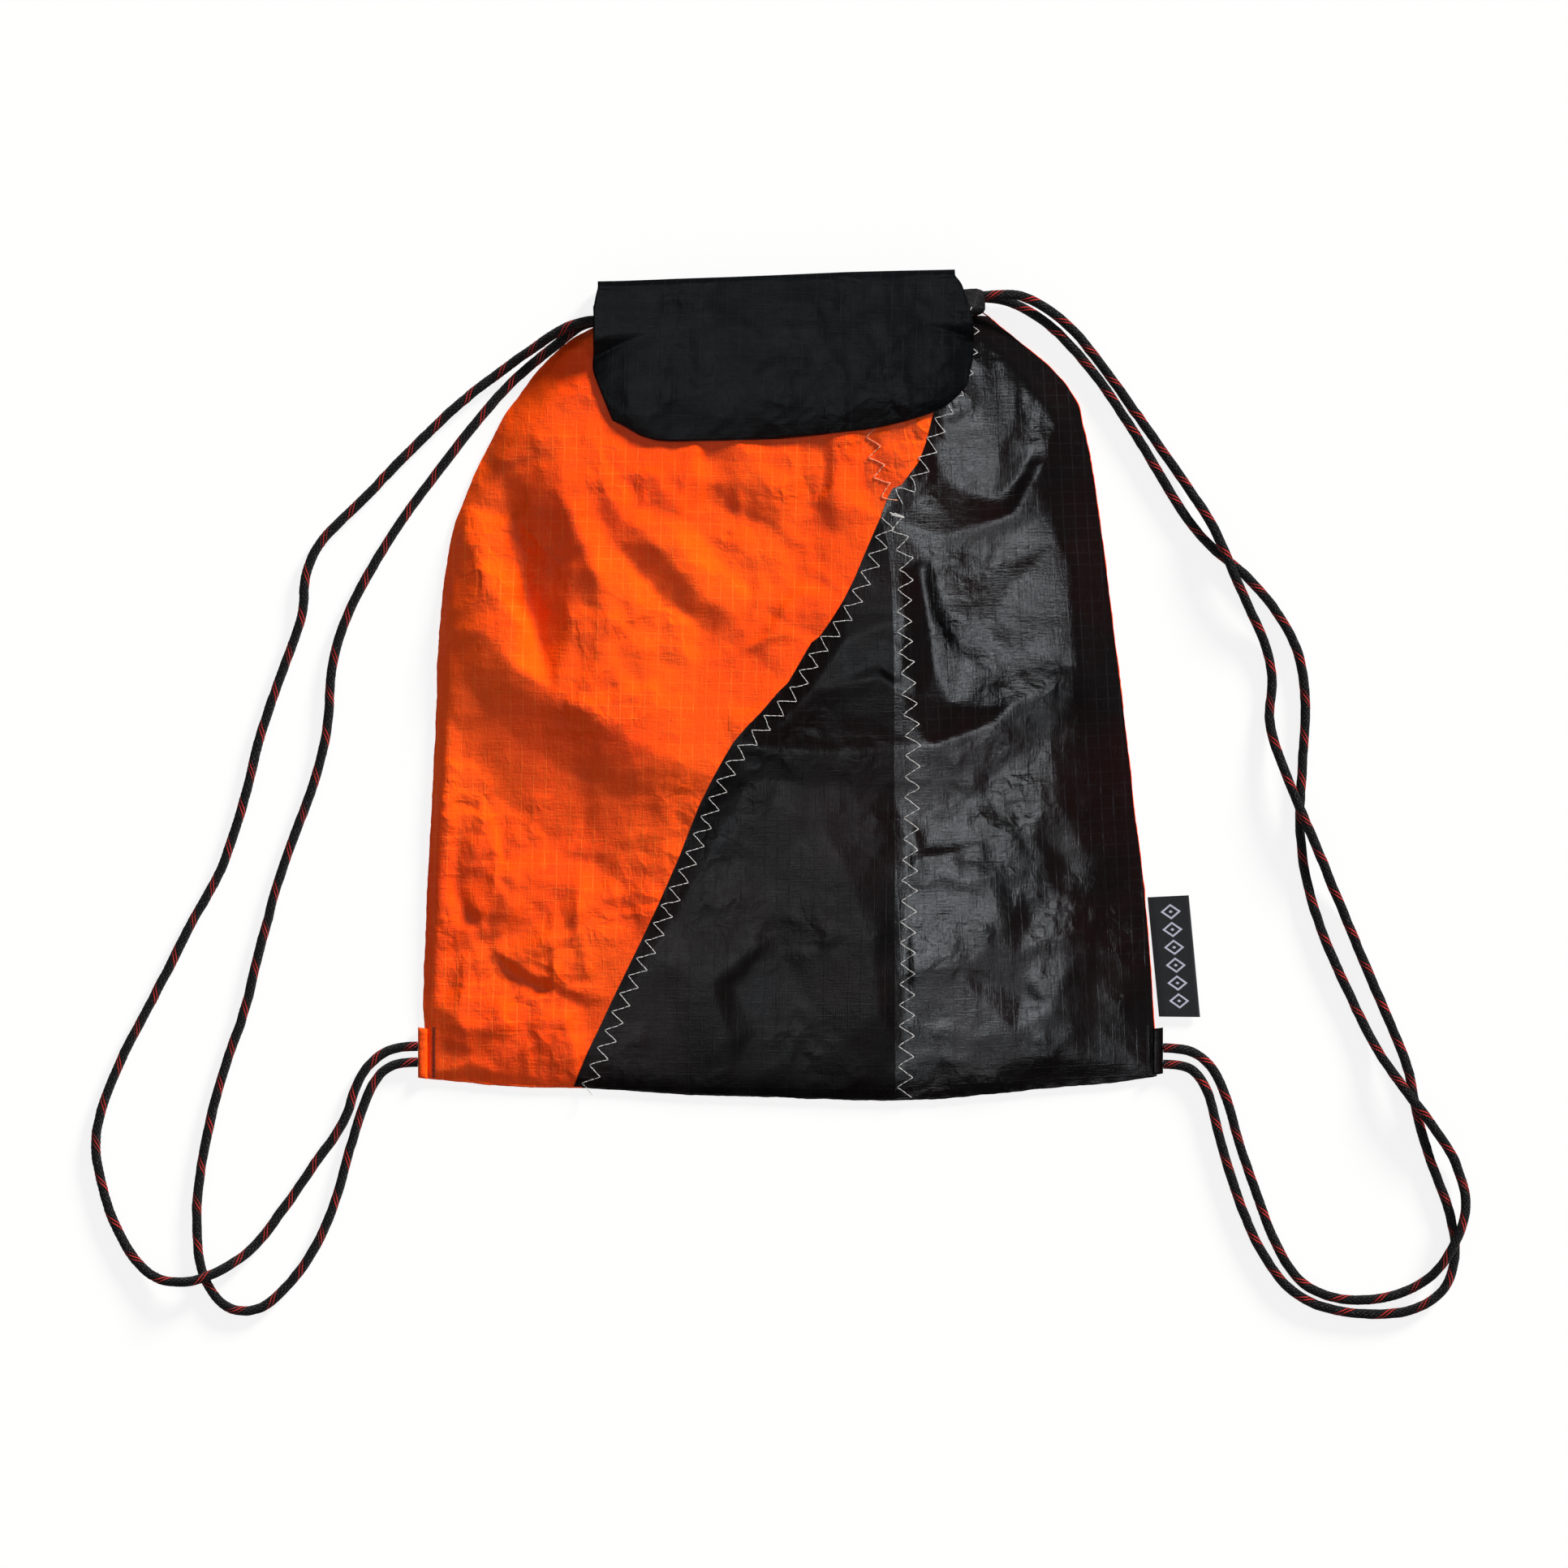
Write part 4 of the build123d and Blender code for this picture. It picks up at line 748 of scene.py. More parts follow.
def crumple(field, seed, count, width, slope, box, strength=None):
    """Adds short sharp creases, as a stiff coated cloth takes them, mostly along the warp and the weft."""
    rng = np.random.default_rng(seed)
    x_low, y_low, x_high, y_high = box
    for _ in range(count):
        px, py = rng.uniform(x_low, x_high), rng.uniform(y_low, y_high)
        kind = rng.random()
        angle = rng.normal(math.pi / 2, 0.28) if kind < 0.42 else rng.normal(0.05, 0.25) if kind < 0.6 else rng.uniform(0, math.pi)
        w = width * rng.uniform(0.6, 1.5)
        length = w * rng.uniform(1.4, 3.6)
        height = w * slope * rng.uniform(0.4, 1.0) * (1 if rng.random() < 0.6 else -0.8)
        skew = rng.uniform(0.35, 1.0)
        bend = rng.uniform(-0.35, 0.35) / length
        if strength is not None:
            i, j = int((px - X0) / CELL), int((py - Y0) / CELL)
            if not (0 <= i < NX and 0 <= j < NY):
                continue
            height *= strength[j, i]
        reach = max(w * 1.1, length)
        i0, i1 = max(0, int((px - reach - X0) / CELL)), min(NX, int((px + reach - X0) / CELL) + 2)
        j0, j1 = max(0, int((py - reach - Y0) / CELL)), min(NY, int((py + reach - Y0) / CELL) + 2)
        if i0 >= i1 or j0 >= j1:
            continue
        dx, dy = GX[j0:j1, i0:i1] - px, GY[j0:j1, i0:i1] - py
        u = dx * math.cos(angle) + dy * math.sin(angle)
        t = -dx * math.sin(angle) + dy * math.cos(angle) + bend * u * u
        t = np.where(t > 0, t / w, -t / (w * skew))
        across = np.clip(1 - t, 0, 1)
        across = across * (0.35 + 0.65 * across)
        run = np.clip(1 - (u / length) ** 2, 0, 1)
        field[j0:j1, i0:i1] += height * across * run
    return field


def soft_noise(seed, size):
    """Smooth noise over the raster with blobs of about size mm, 0 to 1."""
    rng = np.random.default_rng(seed)
    n_x, n_y = int(NX * CELL / size) + 4, int(NY * CELL / size) + 4
    coarse = rng.random((n_y, n_x))
    x, y = (GX - X0) / size + 0.5, (GY - Y0) / size + 0.5
    i, j = np.floor(x).astype(int), np.floor(y).astype(int)
    fx, fy = x - i, y - j
    fx, fy = fx * fx * (3 - 2 * fx), fy * fy * (3 - 2 * fy)
    return (coarse[j, i] * (1 - fx) + coarse[j, i + 1] * fx) * (1 - fy) + (coarse[j + 1, i] * (1 - fx) + coarse[j + 1, i + 1] * fx) * fy


left_edge = rounded(left_side, 1.5, softness=2.0)
right_edge = rounded(right_side, 1.5, softness=2.0)
bottom_edge = rounded(bottom_side, 1.5, softness=2.0)
border = np.vstack((left_edge[::-1], bottom_edge[1:-1], right_edge))


def border_distance(px, py):
    """Distance to the sewn edge and the length along it of the nearest point."""
    best = np.full(px.shape, 1e9)
    where = np.zeros(px.shape)
    s = 0.0
    pts = border[::3] if len(border) % 3 == 1 else np.vstack((border[::3], border[-1:]))
    for (ax, ay), (bx, by) in zip(pts, pts[1:]):
        l = math.hypot(bx - ax, by - ay)
        t = np.clip(((px - ax) * (bx - ax) + (py - ay) * (by - ay)) / (l * l), 0, 1)
        d = np.hypot(px - ax - t * (bx - ax), py - ay - t * (by - ay))
        closer = d < best
        best = np.where(closer, d, best)
        where = np.where(closer, s + t * l, where)
        s += l
    return best, where


crown = tin(folds)
crown = np.where(np.isnan(crown), 9.0, crown)
# the folds stand prouder below the flap than under it
away = np.clip((118 - GY + 0.033 * GX) / 45, 0, 1)
crown = 12.0 + (crown - 12.0) * (1.0 + 0.65 * away * away * (3 - 2 * away))
crown = 0.7 * blur(crown, 0.9) + 0.3 * blur(crown, 2.4)
edge_d, edge_s = border_distance(GX, GY)
calm = np.clip((soft_noise(5, 42) - 0.30) / 0.45, 0.0, 1.0)
busy = np.clip((soft_noise(6, 24) - 0.35) / 0.4, 0.0, 1.0)
whole = (-185, -206, 185, 190)
rough_field = np.zeros(GX.shape)
crumple(rough_field, 31, 110, 21.0, 0.055, whole, 0.4 + 0.6 * calm)
crumple(rough_field, 32, 420, 10.0, 0.065, whole, 0.25 + 0.75 * calm)
crumple(rough_field, 33, 1500, 4.6, 0.075, whole, 0.15 + 0.85 * busy * calm)
# more creases low on the orange side, on the bright middle and over the lower black panels
crumple(rough_field, 34, 60, 8.0, 0.11, (-170, -190, -100, -75))
crumple(rough_field, 35, 60, 7.0, 0.11, (-110, 20, 20, 110))
crumple(rough_field, 36, 80, 8.0, 0.10, (55, -185, 165, -20))
rough_field = blur(rough_field, 0.5)
# the black cloth lies calmer than the orange
split = np.array(sorted(((p[1], p[0]) for p in list(diagonal_edge) + list(upper_diagonal_edge))))
on_black = 1 / (1 + np.exp(-np.clip((GX - np.interp(GY, split[:, 0], split[:, 1])) / 3.0, -30, 30)))
rough_field = rough_field * (1.05 - 0.60 * on_black)
neck_d = -to_neck(np.stack((GX, GY), -1))[..., 1] - 6.7  # how far below the casing
gather = noise1(to_neck(np.stack((GX, GY), -1))[..., 0] / 9.0, 41) * np.exp(-np.clip(neck_d, 0, None) / 24.0) * 1.1
pucker = (noise1(edge_s / 7.0, 42) * 0.55 + noise1(edge_s / 2.6, 43) * 0.2) * np.exp(-edge_d / 9.0) * (1 - np.exp(-edge_d / 2.0))
full = crown + rough_field + gather + pucker
roof = 17.0 + 4.5 * away
full = np.where(full > roof, roof + (full - roof) / (1 + (full - roof) / 0.9), full)
full = np.maximum(full, 4.0)
# beside the label the pouch comes up more gently, which leaves the label room to bend over
by_label = np.clip((GX - 135) / 15, 0, 1) * np.clip((GY + 182) / 16, 0, 1) * np.clip((-84 - GY) / 16, 0, 1)
on_right = np.clip((GX - 120) / 20, 0, 1)
rise = 1 - np.exp(-((edge_d / (5.0 + 2.5 * on_right + 5.5 * by_label)) ** 0.95))
front = 1.55 + (full - 1.55) * rise
# under the casing the cloth comes up to its lower edge
top_z = 14.6
front = np.where(neck_d < 8, front + (top_z * rise + 1.5 * (1 - rise) - front) * np.clip((8 - neck_d) / 8, 0, 1) ** 2, front)


front_soft = blur(front, 4.0)


def sample(field, x, y):
    fx, fy = (np.asarray(x) - X0) / CELL, (np.asarray(y) - Y0) / CELL
    i, j = np.clip(np.floor(fx).astype(int), 0, NX - 2), np.clip(np.floor(fy).astype(int), 0, NY - 2)
    fx, fy = np.clip(fx - i, 0, 1), np.clip(fy - j, 0, 1)
    return (field[j, i] * (1 - fx) + field[j, i + 1] * fx) * (1 - fy) + (field[j + 1, i] * (1 - fx) + field[j + 1, i + 1] * fx) * fy


def lift(points, above=0.0):
    """Plan points laid on the front."""
    p = np.asarray(points, float)
    return np.column_stack((p[:, 0], p[:, 1], sample(front, p[:, 0], p[:, 1]) + above))


# ------------------------------------------------------------------ the front panels
bottom_xy = bottom_edge[np.argsort(bottom_edge[:, 0])]


def low_y(x):
    return np.interp(x, bottom_xy[:, 0], bottom_xy[:, 1])


def high_y(x):
    # the line where the front meets its casing
    return neck_centre[1] - 6.2 / math.cos(neck_turn) + (x - neck_centre[0]) * math.tan(neck_turn)


def as_v(line):
    """x as a function of the height share v along an edge line."""
    p = resample(line, 1.0)
    v = (p[:, 1] - low_y(p[:, 0])) / (high_y(p[:, 0]) - low_y(p[:, 0]))
    v = np.maximum.accumulate(v)
    v[0] = min(v[0], 0.0)
    return v, p[:, 0]


rows = 262
lv, lx = as_v(left_edge)
rv, rx = as_v(right_edge)
dv, dx_ = as_v(diagonal_edge)
uv_, ux_ = as_v(upright_edge)
tdv, tdx = as_v(upper_diagonal_edge)
tuv, tux = as_v(upper_upright_edge)
v_cross = 0.5 * (dv[-1] + uv_[-1])
low_rows = int(rows * v_cross)
v_low = np.linspace(0, v_cross, low_rows)
v_high = np.linspace(v_cross, 1, rows - low_rows + 1)


def row_points(v, xa, xb, n):
    t = np.linspace(0, 1, n)[None]
    x = xa[:, None] * (1 - t) + xb[:, None] * t
    y = low_y(x) + v[:, None] * (high_y(x) - low_y(x))
    return x, y


def panel(name, pieces, material, node, raise_by=0.0):
    """One cut of cloth from blocks of rows, with its height from the front."""
    verts, faces, offset = [], [], 0
    for v, xa, xb, n in pieces:
        x, y = row_points(v, xa, xb, n)
        z = sample(front, x, y) + raise_by
        verts.append(np.stack((x, y, z), -1).reshape(-1, 3))
        faces.append(grid_faces(len(v), n) + offset)
        offset += x.size
    obj = clean(make_object(name, np.vstack(verts), np.vstack(faces)), 0.000015)
    dress(obj, material)
    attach(obj, "root")
    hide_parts(node)
    area = sum(p.area for p in obj.data.polygons)
    print("panel", name, round(area, 5), len(obj.data.vertices))
    return obj


left_low, left_high = np.interp(v_low, lv, lx), np.interp(v_high, lv, lx)
right_low, right_high = np.interp(v_low, rv, rx), np.interp(v_high, rv, rx)
diag_low, upr_low = np.interp(v_low, dv, dx_), np.interp(v_low, uv_, ux_)
diag_high, upr_high = np.interp(v_high, tdv, tdx), np.interp(v_high, tuv, tux)

orange_front = panel("orange_front_cloth", [(v_low, left_low, diag_low, 120), (v_high, left_high, upr_high, 120)], orange_main, "front_orange_panel")
orange_tip_cloth = panel("orange_tip_cloth", [(v_high, upr_high, diag_high, 34)], orange_tip, "front_orange_tip_panel")
black_centre = panel("black_centre_cloth", [(v_low, diag_low, upr_low, 90)], black_main, "front_black_centre_panel", raise_by=0.18)
black_side_cloth = panel("black_side_cloth", [(v_low, upr_low, right_low, 90), (v_high, diag_high, right_high, 90)], black_side, "front_black_side_panel", raise_by=0.18)

# ------------------------------------------------------------------ the back
tn = 90
bx_all, by_all = [], []
v_all = np.concatenate((v_low, v_high[1:]))[::2]
bl, br = np.interp(v_all, lv, lx), np.interp(v_all, rv, rx)
x, y = row_points(v_all, bl, br, 170)
d, _ = border_distance(x, y)
back_field = crumple(np.zeros(GX.shape), 51, 500, 12.0, 0.03, whole)
crumple(back_field, 52, 900, 5.0, 0.035, whole)
back_z = np.clip(0.9 + blur(back_field, 1.0)[np.clip(((y - Y0) / CELL).astype(int), 0, NY - 1), np.clip(((x - X0) / CELL).astype(int), 0, NX - 1)], 0.25, 1.5)
back_z = 1.45 + (back_z - 1.45) * (1 - np.exp(-d / 3))
back = make_object("back_cloth", np.stack((x, y, back_z), -1).reshape(-1, 3), grid_faces(*x.shape)[:, ::-1])
dress(clean(back, 0.000015), orange_back)
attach(back, "root")
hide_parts("back_panel")
print("back", sum(p.area for p in back.data.polygons))


# ------------------------------------------------------------------ seams round the edge
def welt(name, line, node, material, seed, radius=0.85, out=0.35, centre=None):
    """The narrow turned edge where front and back are sewn together."""
    p = rounded(line, 1.0, softness=1.0)
    t = np.gradient(p, axis=0)
    t /= np.linalg.norm(t, axis=1)[:, None]
    n = np.stack((t[:, 1], -t[:, 0]), -1)
    middle = np.array((0.0, 0.0)) if centre is None else centre
    n *= np.where(((p - middle) * n).sum(1) > 0, 1, -1)[:, None]
    s = np.arange(len(p)) * 1.0
    push = out + 0.25 * noise1(s / 8, seed) + 0.12 * noise1(s / 2.2, seed + 1)
    q = p + n * push[:, None]
    path = np.column_stack((q, 1.35 + 0.15 * noise1(s / 5, seed + 2)))
    v, f, caps = tube(path, radius * (1 + 0.15 * noise1(s / 3, seed + 3)), 10, flatten=0.85)
    v[:, 2] = np.maximum(v[:, 2], 0.05)
    obj = clean(make_object(name, v, np.vstack((f, caps))), 0.000001)
    dress(obj, material)
    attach(obj, "root")
    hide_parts(node)
    return obj


welt("left_edge_seam", left_edge, "left_side_seam", orange_main, 61, radius=0.6, out=0.05)
welt("right_edge_seam", right_edge, "right_side_seam", orange_back, 62, radius=0.36, out=0.0)
bottom_welt = welt("bottom_edge_seam", bottom_edge, "bottom_seam", black_main, 63, radius=0.75, out=0.0)
bottom_welt.data.materials.append(orange_main)
for face in bottom_welt.data.polygons:
    if face.center.x < -0.1035:
        face.material_index = 1


# ------------------------------------------------------------------ thread
def zigzag_path(line, half_width, pitch, seed, share=0.5, above=0.32, dip=0.10, ground=None, steps=3):
    """A three-step zigzag: each stroke is three stitches that dive into the cloth at their ends."""
    rng = np.random.default_rng(seed)
    p = rounded(line, 0.5, softness=3.0)
    t = np.gradient(p, axis=0)
    t /= np.linalg.norm(t, axis=1)[:, None]
    n = np.stack((-t[:, 1], t[:, 0]), -1)
    total = (len(p) - 1) * 0.5
    needles, s, side = [], 0.0, 1
    while s < total:
        advance = pitch * (share if side > 0 else 1 - share)
        for k in range(steps):
            f = k / steps
            needles.append((s + advance * f, side * half_width * (2 * f - 1)))
        s += advance
        side = -side
    needles = [(a, b) for a, b in needles if a <= total - 0.3]
    xy = []
    for a, b in needles:
        i = min(len(p) - 1, int(a / 0.5))
        f = min(1, a / 0.5 - i)
        j = min(len(p) - 1, i + 1)
        q = p[i] * (1 - f) + p[j] * f + n[i] * b + rng.normal(0, 0.16, 2)
        xy.append(q)
    xy = np.array(xy)
    pts = []
    for a, b in zip(xy, xy[1:]):
        for k in range(6):
            f = k / 6
            q = a * (1 - f) + b * f
            bow = math.sin(math.pi * f)
            pts.append((q[0], q[1], -dip + (above + dip) * min(1, bow * 1.6)))
    pts.append((*xy[-1], -dip))
    pts = np.array(pts)
    z = sample(front if ground is None else ground, pts[:, 0], pts[:, 1])
    pts[:, 2] += z
    return pts


def seam_thread(name, specs, node, radius=0.21):
    made = []
    for k, (line, half_width, pitch, share, material, above) in enumerate(specs):
        path = zigzag_path(line, half_width, pitch, 71 + k, share, above)
        made.append((path, material))
    obj = tubes_object(name, [p for p, m in made], radius, 6)
    mats = []
    for _, m in made:
        if m not in mats:
            mats.append(m)
    dress(obj, mats[0])
    for m in mats[1:]:
        obj.data.materials.append(m)
    if len(mats) > 1:
        # the stretch on the orange cloth looks paler and warmer
        zone = made[-1][0]
        lo, hi = zone.min(0)[:2] - 1, zone.max(0)[:2] + 1
        for poly in obj.data.polygons:
            c = poly.center / MM
            if lo[0] < c[0] < hi[0] and lo[1] < c[1] < hi[1]:
                d = np.min(np.hypot(zone[:, 0] - c[0], zone[:, 1] - c[1]))
                if d < 0.6:
                    poly.material_index = 1
    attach(obj, "root")
    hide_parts(node)
    return obj


seam_thread("diagonal_zigzag", [(diagonal_thread, 3.7, 9.6, 0.34, white_thread, 0.5), (upper_diagonal_thread, 3.7, 10.4, 0.4, white_thread, 0.5)], "diagonal_seam_thread")
knot = [(50.4 + 3.4 * math.cos(k * 2.4) + 0.12 * k, 83.2 - 0.9 * math.cos(k * 2.4) + 0.7 * math.sin(k * 1.9)) for k in range(15)]
upright = seam_thread("upright_zigzag", [(upright_thread, 3.8, 10.2, 0.5, white_thread, 0.5), (upper_upright_thread, 3.4, 9.8, 0.5, pale_thread, 0.35)], "upright_seam_thread")
backtack = lift(np.array(knot), 0.55)
backtack = rounded(backtack, 0.4, softness=0.4)
tack = tubes_object("backtack", [backtack], 0.26, 6)
dress(tack, white_thread)
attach(tack, "root")


# ------------------------------------------------------------------ casings
def casing(name, z_mid, node, seed):
    """A gathered tube of cloth round the cords, turned in at both ends."""
    length = np.concatenate((np.linspace(-96, -92, 14), np.linspace(-91.5, 91.5, 460), np.linspace(92, 96, 14)))
    seg = 44
    a = np.linspace(0, 2 * math.pi, seg, endpoint=False)
    ca, sa = np.cos(a), np.sin(a)
    p = 0.72
    sy, sz = np.sign(ca) * np.abs(ca) ** p, np.sign(sa) * np.abs(sa) ** p
    u = length[:, None]
    fold = noise1(u / 3.6 + 0.9 * np.sin(a)[None], seed) * 0.38 + noise1(u / 1.7 + 1.7 * np.cos(a)[None], seed + 1) * 0.16
    end = np.clip((96 - np.abs(u)) / 6.0, 0, 1)
    close = np.sqrt(np.clip(1 - (1 - end) ** 2, 0, 1)) * 0.42 + 0.58
    half_y = (6.1 + 0.35 * noise1(u / 14, seed + 2)) * close
    half_z = (3.05 + 0.12 * noise1(u / 9, seed + 3)) * close
    y = sy[None] * (half_y + fold)
    z = z_mid + sz[None] * (half_z + 0.8 * fold)
    z = np.clip(z, z_mid - 3.55, z_mid + 3.55)
    outer = from_neck(np.broadcast_to(u, y.shape), y, z)
    rings = [outer]
    # the ends turn in round the cords
    start = from_neck(np.full((4, seg), 0.0) + np.array((-95.6, -94.5, -92.0, -88.0))[:, None], sy[None] * np.array((3.6, 3.3, 3.4, 3.6))[:, None], z_mid + sz[None] * np.array((2.0, 1.9, 2.0, 2.1))[:, None])
    stop = from_neck(np.full((4, seg), 0.0) + np.array((95.6, 94.5, 92.0, 88.0))[:, None], sy[None] * np.array((3.6, 3.3, 3.4, 3.6))[:, None], z_mid + sz[None] * np.array((2.0, 1.9, 2.0, 2.1))[:, None])
    allr = np.vstack((start[::-1], outer, stop))
    obj = make_object(name, allr.reshape(-1, 3), grid_faces(len(allr), seg, True)[:, ::-1])
    dress(obj, casing_cloth)
    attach(obj, "root")
    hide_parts(node)
    return obj


casing("front_cord_casing", 16.6, "front_casing", 81)
casing("back_cord_casing", 3.6, "back_casing", 85)

# the two corners of the mouth, where the casings' ends are sewn to each other
for side, name in ((-1, "mouth_corner_left"), (1, "mouth_corner_right")):
    us = np.linspace(84.5, 95.4, 9) * side
    zs = np.linspace(5.5, 14.8, 12)
    a = np.linspace(0, 2 * math.pi, 24, endpoint=False)
    ring = []
    for z in zs:
        pinch = 1 - 0.35 * math.sin(math.pi * (z - 5.5) / 9.3)
        cx = 89.5 * side
        rx_, ry_ = 4.0, 4.6 * pinch
        ring.append(from_neck(cx + rx_ * np.sign(np.cos(a)) * np.abs(np.cos(a)) ** 0.8, ry_ * np.sign(np.sin(a)) * np.abs(np.sin(a)) ** 0.8 + 0.3 * np.sin(z * 1.3 + a * 3), np.full(24, z)))
    ring = np.array(ring)
    obj = make_object(name, ring.reshape(-1, 3), grid_faces(len(zs), 24, True))
    dress(obj, casing_cloth)
    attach(obj, "root")


def casing_stitches(name, z, y_at, node, seed):
    """White zigzag that closes a casing along its lower edge."""
    rng = np.random.default_rng(seed)
    pts, u, side = [], -91.0, 1
    while u < 91.5:
        pts.append((u, y_at + side * 1.7 + rng.normal(0, 0.12)))
        u += 2.1 + rng.normal(0, 0.12)
        side = -side
    pts = np.array(pts)
    fine = []
    for (ua, ya), (ub, yb) in zip(pts, pts[1:]):
        for k in range(5):
            f = k / 5
            fine.append((ua + (ub - ua) * f, ya + (yb - ya) * f, z - 0.15 + 0.35 * math.sin(math.pi * f)))
    fine = np.array(fine)
    obj = tubes_object(name, [from_neck(fine[:, 0], fine[:, 1], fine[:, 2])], 0.3, 6)
    dress(obj, white_thread)
    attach(obj, "root")
    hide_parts(node)
    return obj


casing_stitches("front_casing_zigzag", 19.95, -3.9, "front_casing_stitching", 91)
casing_stitches("back_casing_zigzag", 7.0, -3.9, "back_casing_stitching", 92)

# ------------------------------------------------------------------ the flap
flap_n = to_neck(np.array(flap_outline))


def flap_curves():
    """The four sides of the lid in the mouth's own frame: fold, right, bottom and left."""
    k = {"tl": 0, "tr": 7, "br": 16, "bl": 27}
    top = flap_n[k["tl"] : k["tr"] + 1]
    right = flap_n[k["tr"] : k["br"] + 1]
    bottom = flap_n[k["br"] : k["bl"] + 1][::-1]
    left = np.vstack((flap_n[k["bl"] :], flap_n[:1]))[::-1]
    return [rounded(c, 1.0, softness=2.5) for c in (top, right, bottom, left)]


def at(curve, t):
    n = np.linspace(0, 1, len(curve))
    return np.stack((np.interp(t, n, curve[:, 0]), np.interp(t, n, curve[:, 1])), -1)


top_c, right_c, bottom_c, left_c = flap_curves()
fold_y = 13.2


def lid_plan(u, v, grow=0.0):
    """A point of the lid from its two shares, by blending its four sides."""
    T, B, L, R = at(top_c, u), at(bottom_c, u), at(left_c, v), at(right_c, v)
    p00, p10, p01, p11 = top_c[0], top_c[-1], bottom_c[0], bottom_c[-1]
    U, V = u[..., None], v[..., None]
    p = (1 - V) * T + V * B + (1 - U) * L + U * R - ((1 - U) * (1 - V) * p00 + U * (1 - V) * p10 + (1 - U) * V * p01 + U * V * p11)
    if grow:
        c = np.array((-4.0, -20.0))
        d = p - c
        p = c + d * (1 + grow / np.linalg.norm(d, axis=-1, keepdims=True) * np.clip(V * 2.2, 0, 1))
    return p


flap_field = np.zeros(GX.shape)
flap_box = (-100, 115, 92, 206)
crumple(flap_field, 101, 40, 17.0, 0.032, flap_box)
crumple(flap_field, 102, 170, 7.5, 0.036, flap_box)
crumple(flap_field, 103, 420, 3.6, 0.040, flap_box)
# sharper creases along the free edge, and a long slanting one towards the right
crumple(flap_field, 104, 50, 5.0, 0.085, (-96, 118, 86, 146))
for (ax, ay), (bx_, by_), w, h in (((64.0, 180.0), (38.0, 158.0), 3.0, 0.55), ((38.0, 158.0), (26.0, 140.0), 3.0, 0.35), ((-54.0, 176.0), (-66.0, 150.0), 4.0, -0.5), ((-66.0, 150.0), (-60.0, 128.0), 4.0, 0.4), ((70.0, 196.0), (80.0, 150.0), 4.0, 0.35)):
    l = math.hypot(bx_ - ax, by_ - ay)
    t = np.clip(((GX - ax) * (bx_ - ax) + (GY - ay) * (by_ - ay)) / l**2, 0, 1)
    dd = np.hypot(GX - ax - t * (bx_ - ax), GY - ay - t * (by_ - ay))
    flap_field += h * np.clip(1 - dd / w, 0, 1)
flap_field = blur(flap_field, 0.8)


def lid_height(x, y, v, u):
    """Height of the upper face of the lid, which droops on to the front along its free edge."""
    side = np.minimum(u, 1 - u) * 175
    foot = (1 - v) * 78
    edge = np.sqrt(np.clip(side, 0, 45) ** 2 * np.clip(foot, 0, 45) ** 2 / (np.clip(side, 0, 45) ** 2 + np.clip(foot, 0, 45) ** 2 + 1e-6))
    relax = np.clip(edge / 31, 0, 1)
    relax = relax * (1.5 - 0.5 * relax)
    hinge = np.clip(v * 5, 0, 1)
    hang = np.maximum(sample(front_soft, x, y) + 1.3, 13.0) + 0.25 * noise1((u * 175 + v * 75) / 6.0, 111)
    hang = 22.3 * (1 - hinge) + hang * hinge
    z = relax * 22.0 + (1 - relax) * hang + sample(flap_field, x, y) * (0.7 + 0.3 * relax)
    z = z + 0.3 * noise1((u * 175) / 30, 112) * v
    # over the casing it cannot sink
    up = np.clip((to_neck(np.stack((x, y), -1))[..., 1] + 27) / 18.5, 0, 1)
    up = up * up * (3 - 2 * up)
    z = np.maximum(z, 21.5 * up + 12.0 * (1 - up))
    return np.clip(z, sample(front, x, y) + 1.05, 23.8)


nu = 150
us = np.linspace(0, 1, nu)


def riser_x(u):
    return -93.3 + (81.6 + 93.3) * u


# lower piece: sewn on behind the back casing, then up to the middle of the riser
profile = [(5.0, 2.3), (5.9, 1.6), (6.6, 1.1), (7.4, 0.95), (9.0, 0.95), (11.0, 0.95), (12.6, 0.98), (13.7, 1.15), (14.6, 1.6), (15.2, 2.3), (15.45, 3.2), (15.5, 4.4), (15.5, 5.8), (15.5, 7.2), (15.5, 8.6), (15.5, 10.0), (15.5, 11.0)]
profile = np.array(profile)
U, K = np.meshgrid(us, np.arange(len(profile)))
wob = 0.22 * noise1(U * 24, 121) * np.clip((profile[K, 1] - 2) / 6, 0, 1)
low = from_neck(riser_x(U), profile[K, 0] + wob, profile[K, 1])
lower = make_object("flap_hinge_lower", low.reshape(-1, 3), grid_faces(len(profile), nu))
thicken(lower, 0.7, offset=0.0)
dress(lower, flap_cloth)


def n_pt(x, y, z):
    return tuple(from_neck(x, y, z) * MM)


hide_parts("flap_root_band", "flap_riser")
n_pt(0, 13.2, 0.9)
n_pt(0, 15.5, 4.6)
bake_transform(lower)

# upper piece: the rest of the riser, over the fold and down the lid
rise_part = np.array([(15.5, 11.0), (15.5, 12.4), (15.5, 13.8), (15.5, 15.2), (15.5, 16.6), (15.5, 18.0), (15.5, 19.2), (15.45, 20.1), (15.2, 20.9), (14.75, 21.55), (14.1, 22.0), (13.2, 22.3)])
nv = 96
vs = np.linspace(0, 1, nv) ** 0.98
U, K = np.meshgrid(us, np.arange(len(rise_part)))
wob = 0.22 * noise1(U * 24, 121) * np.clip((20 - rise_part[K, 1]) / 6, 0, 1)
start_c = lid_plan(us, np.zeros(nu))
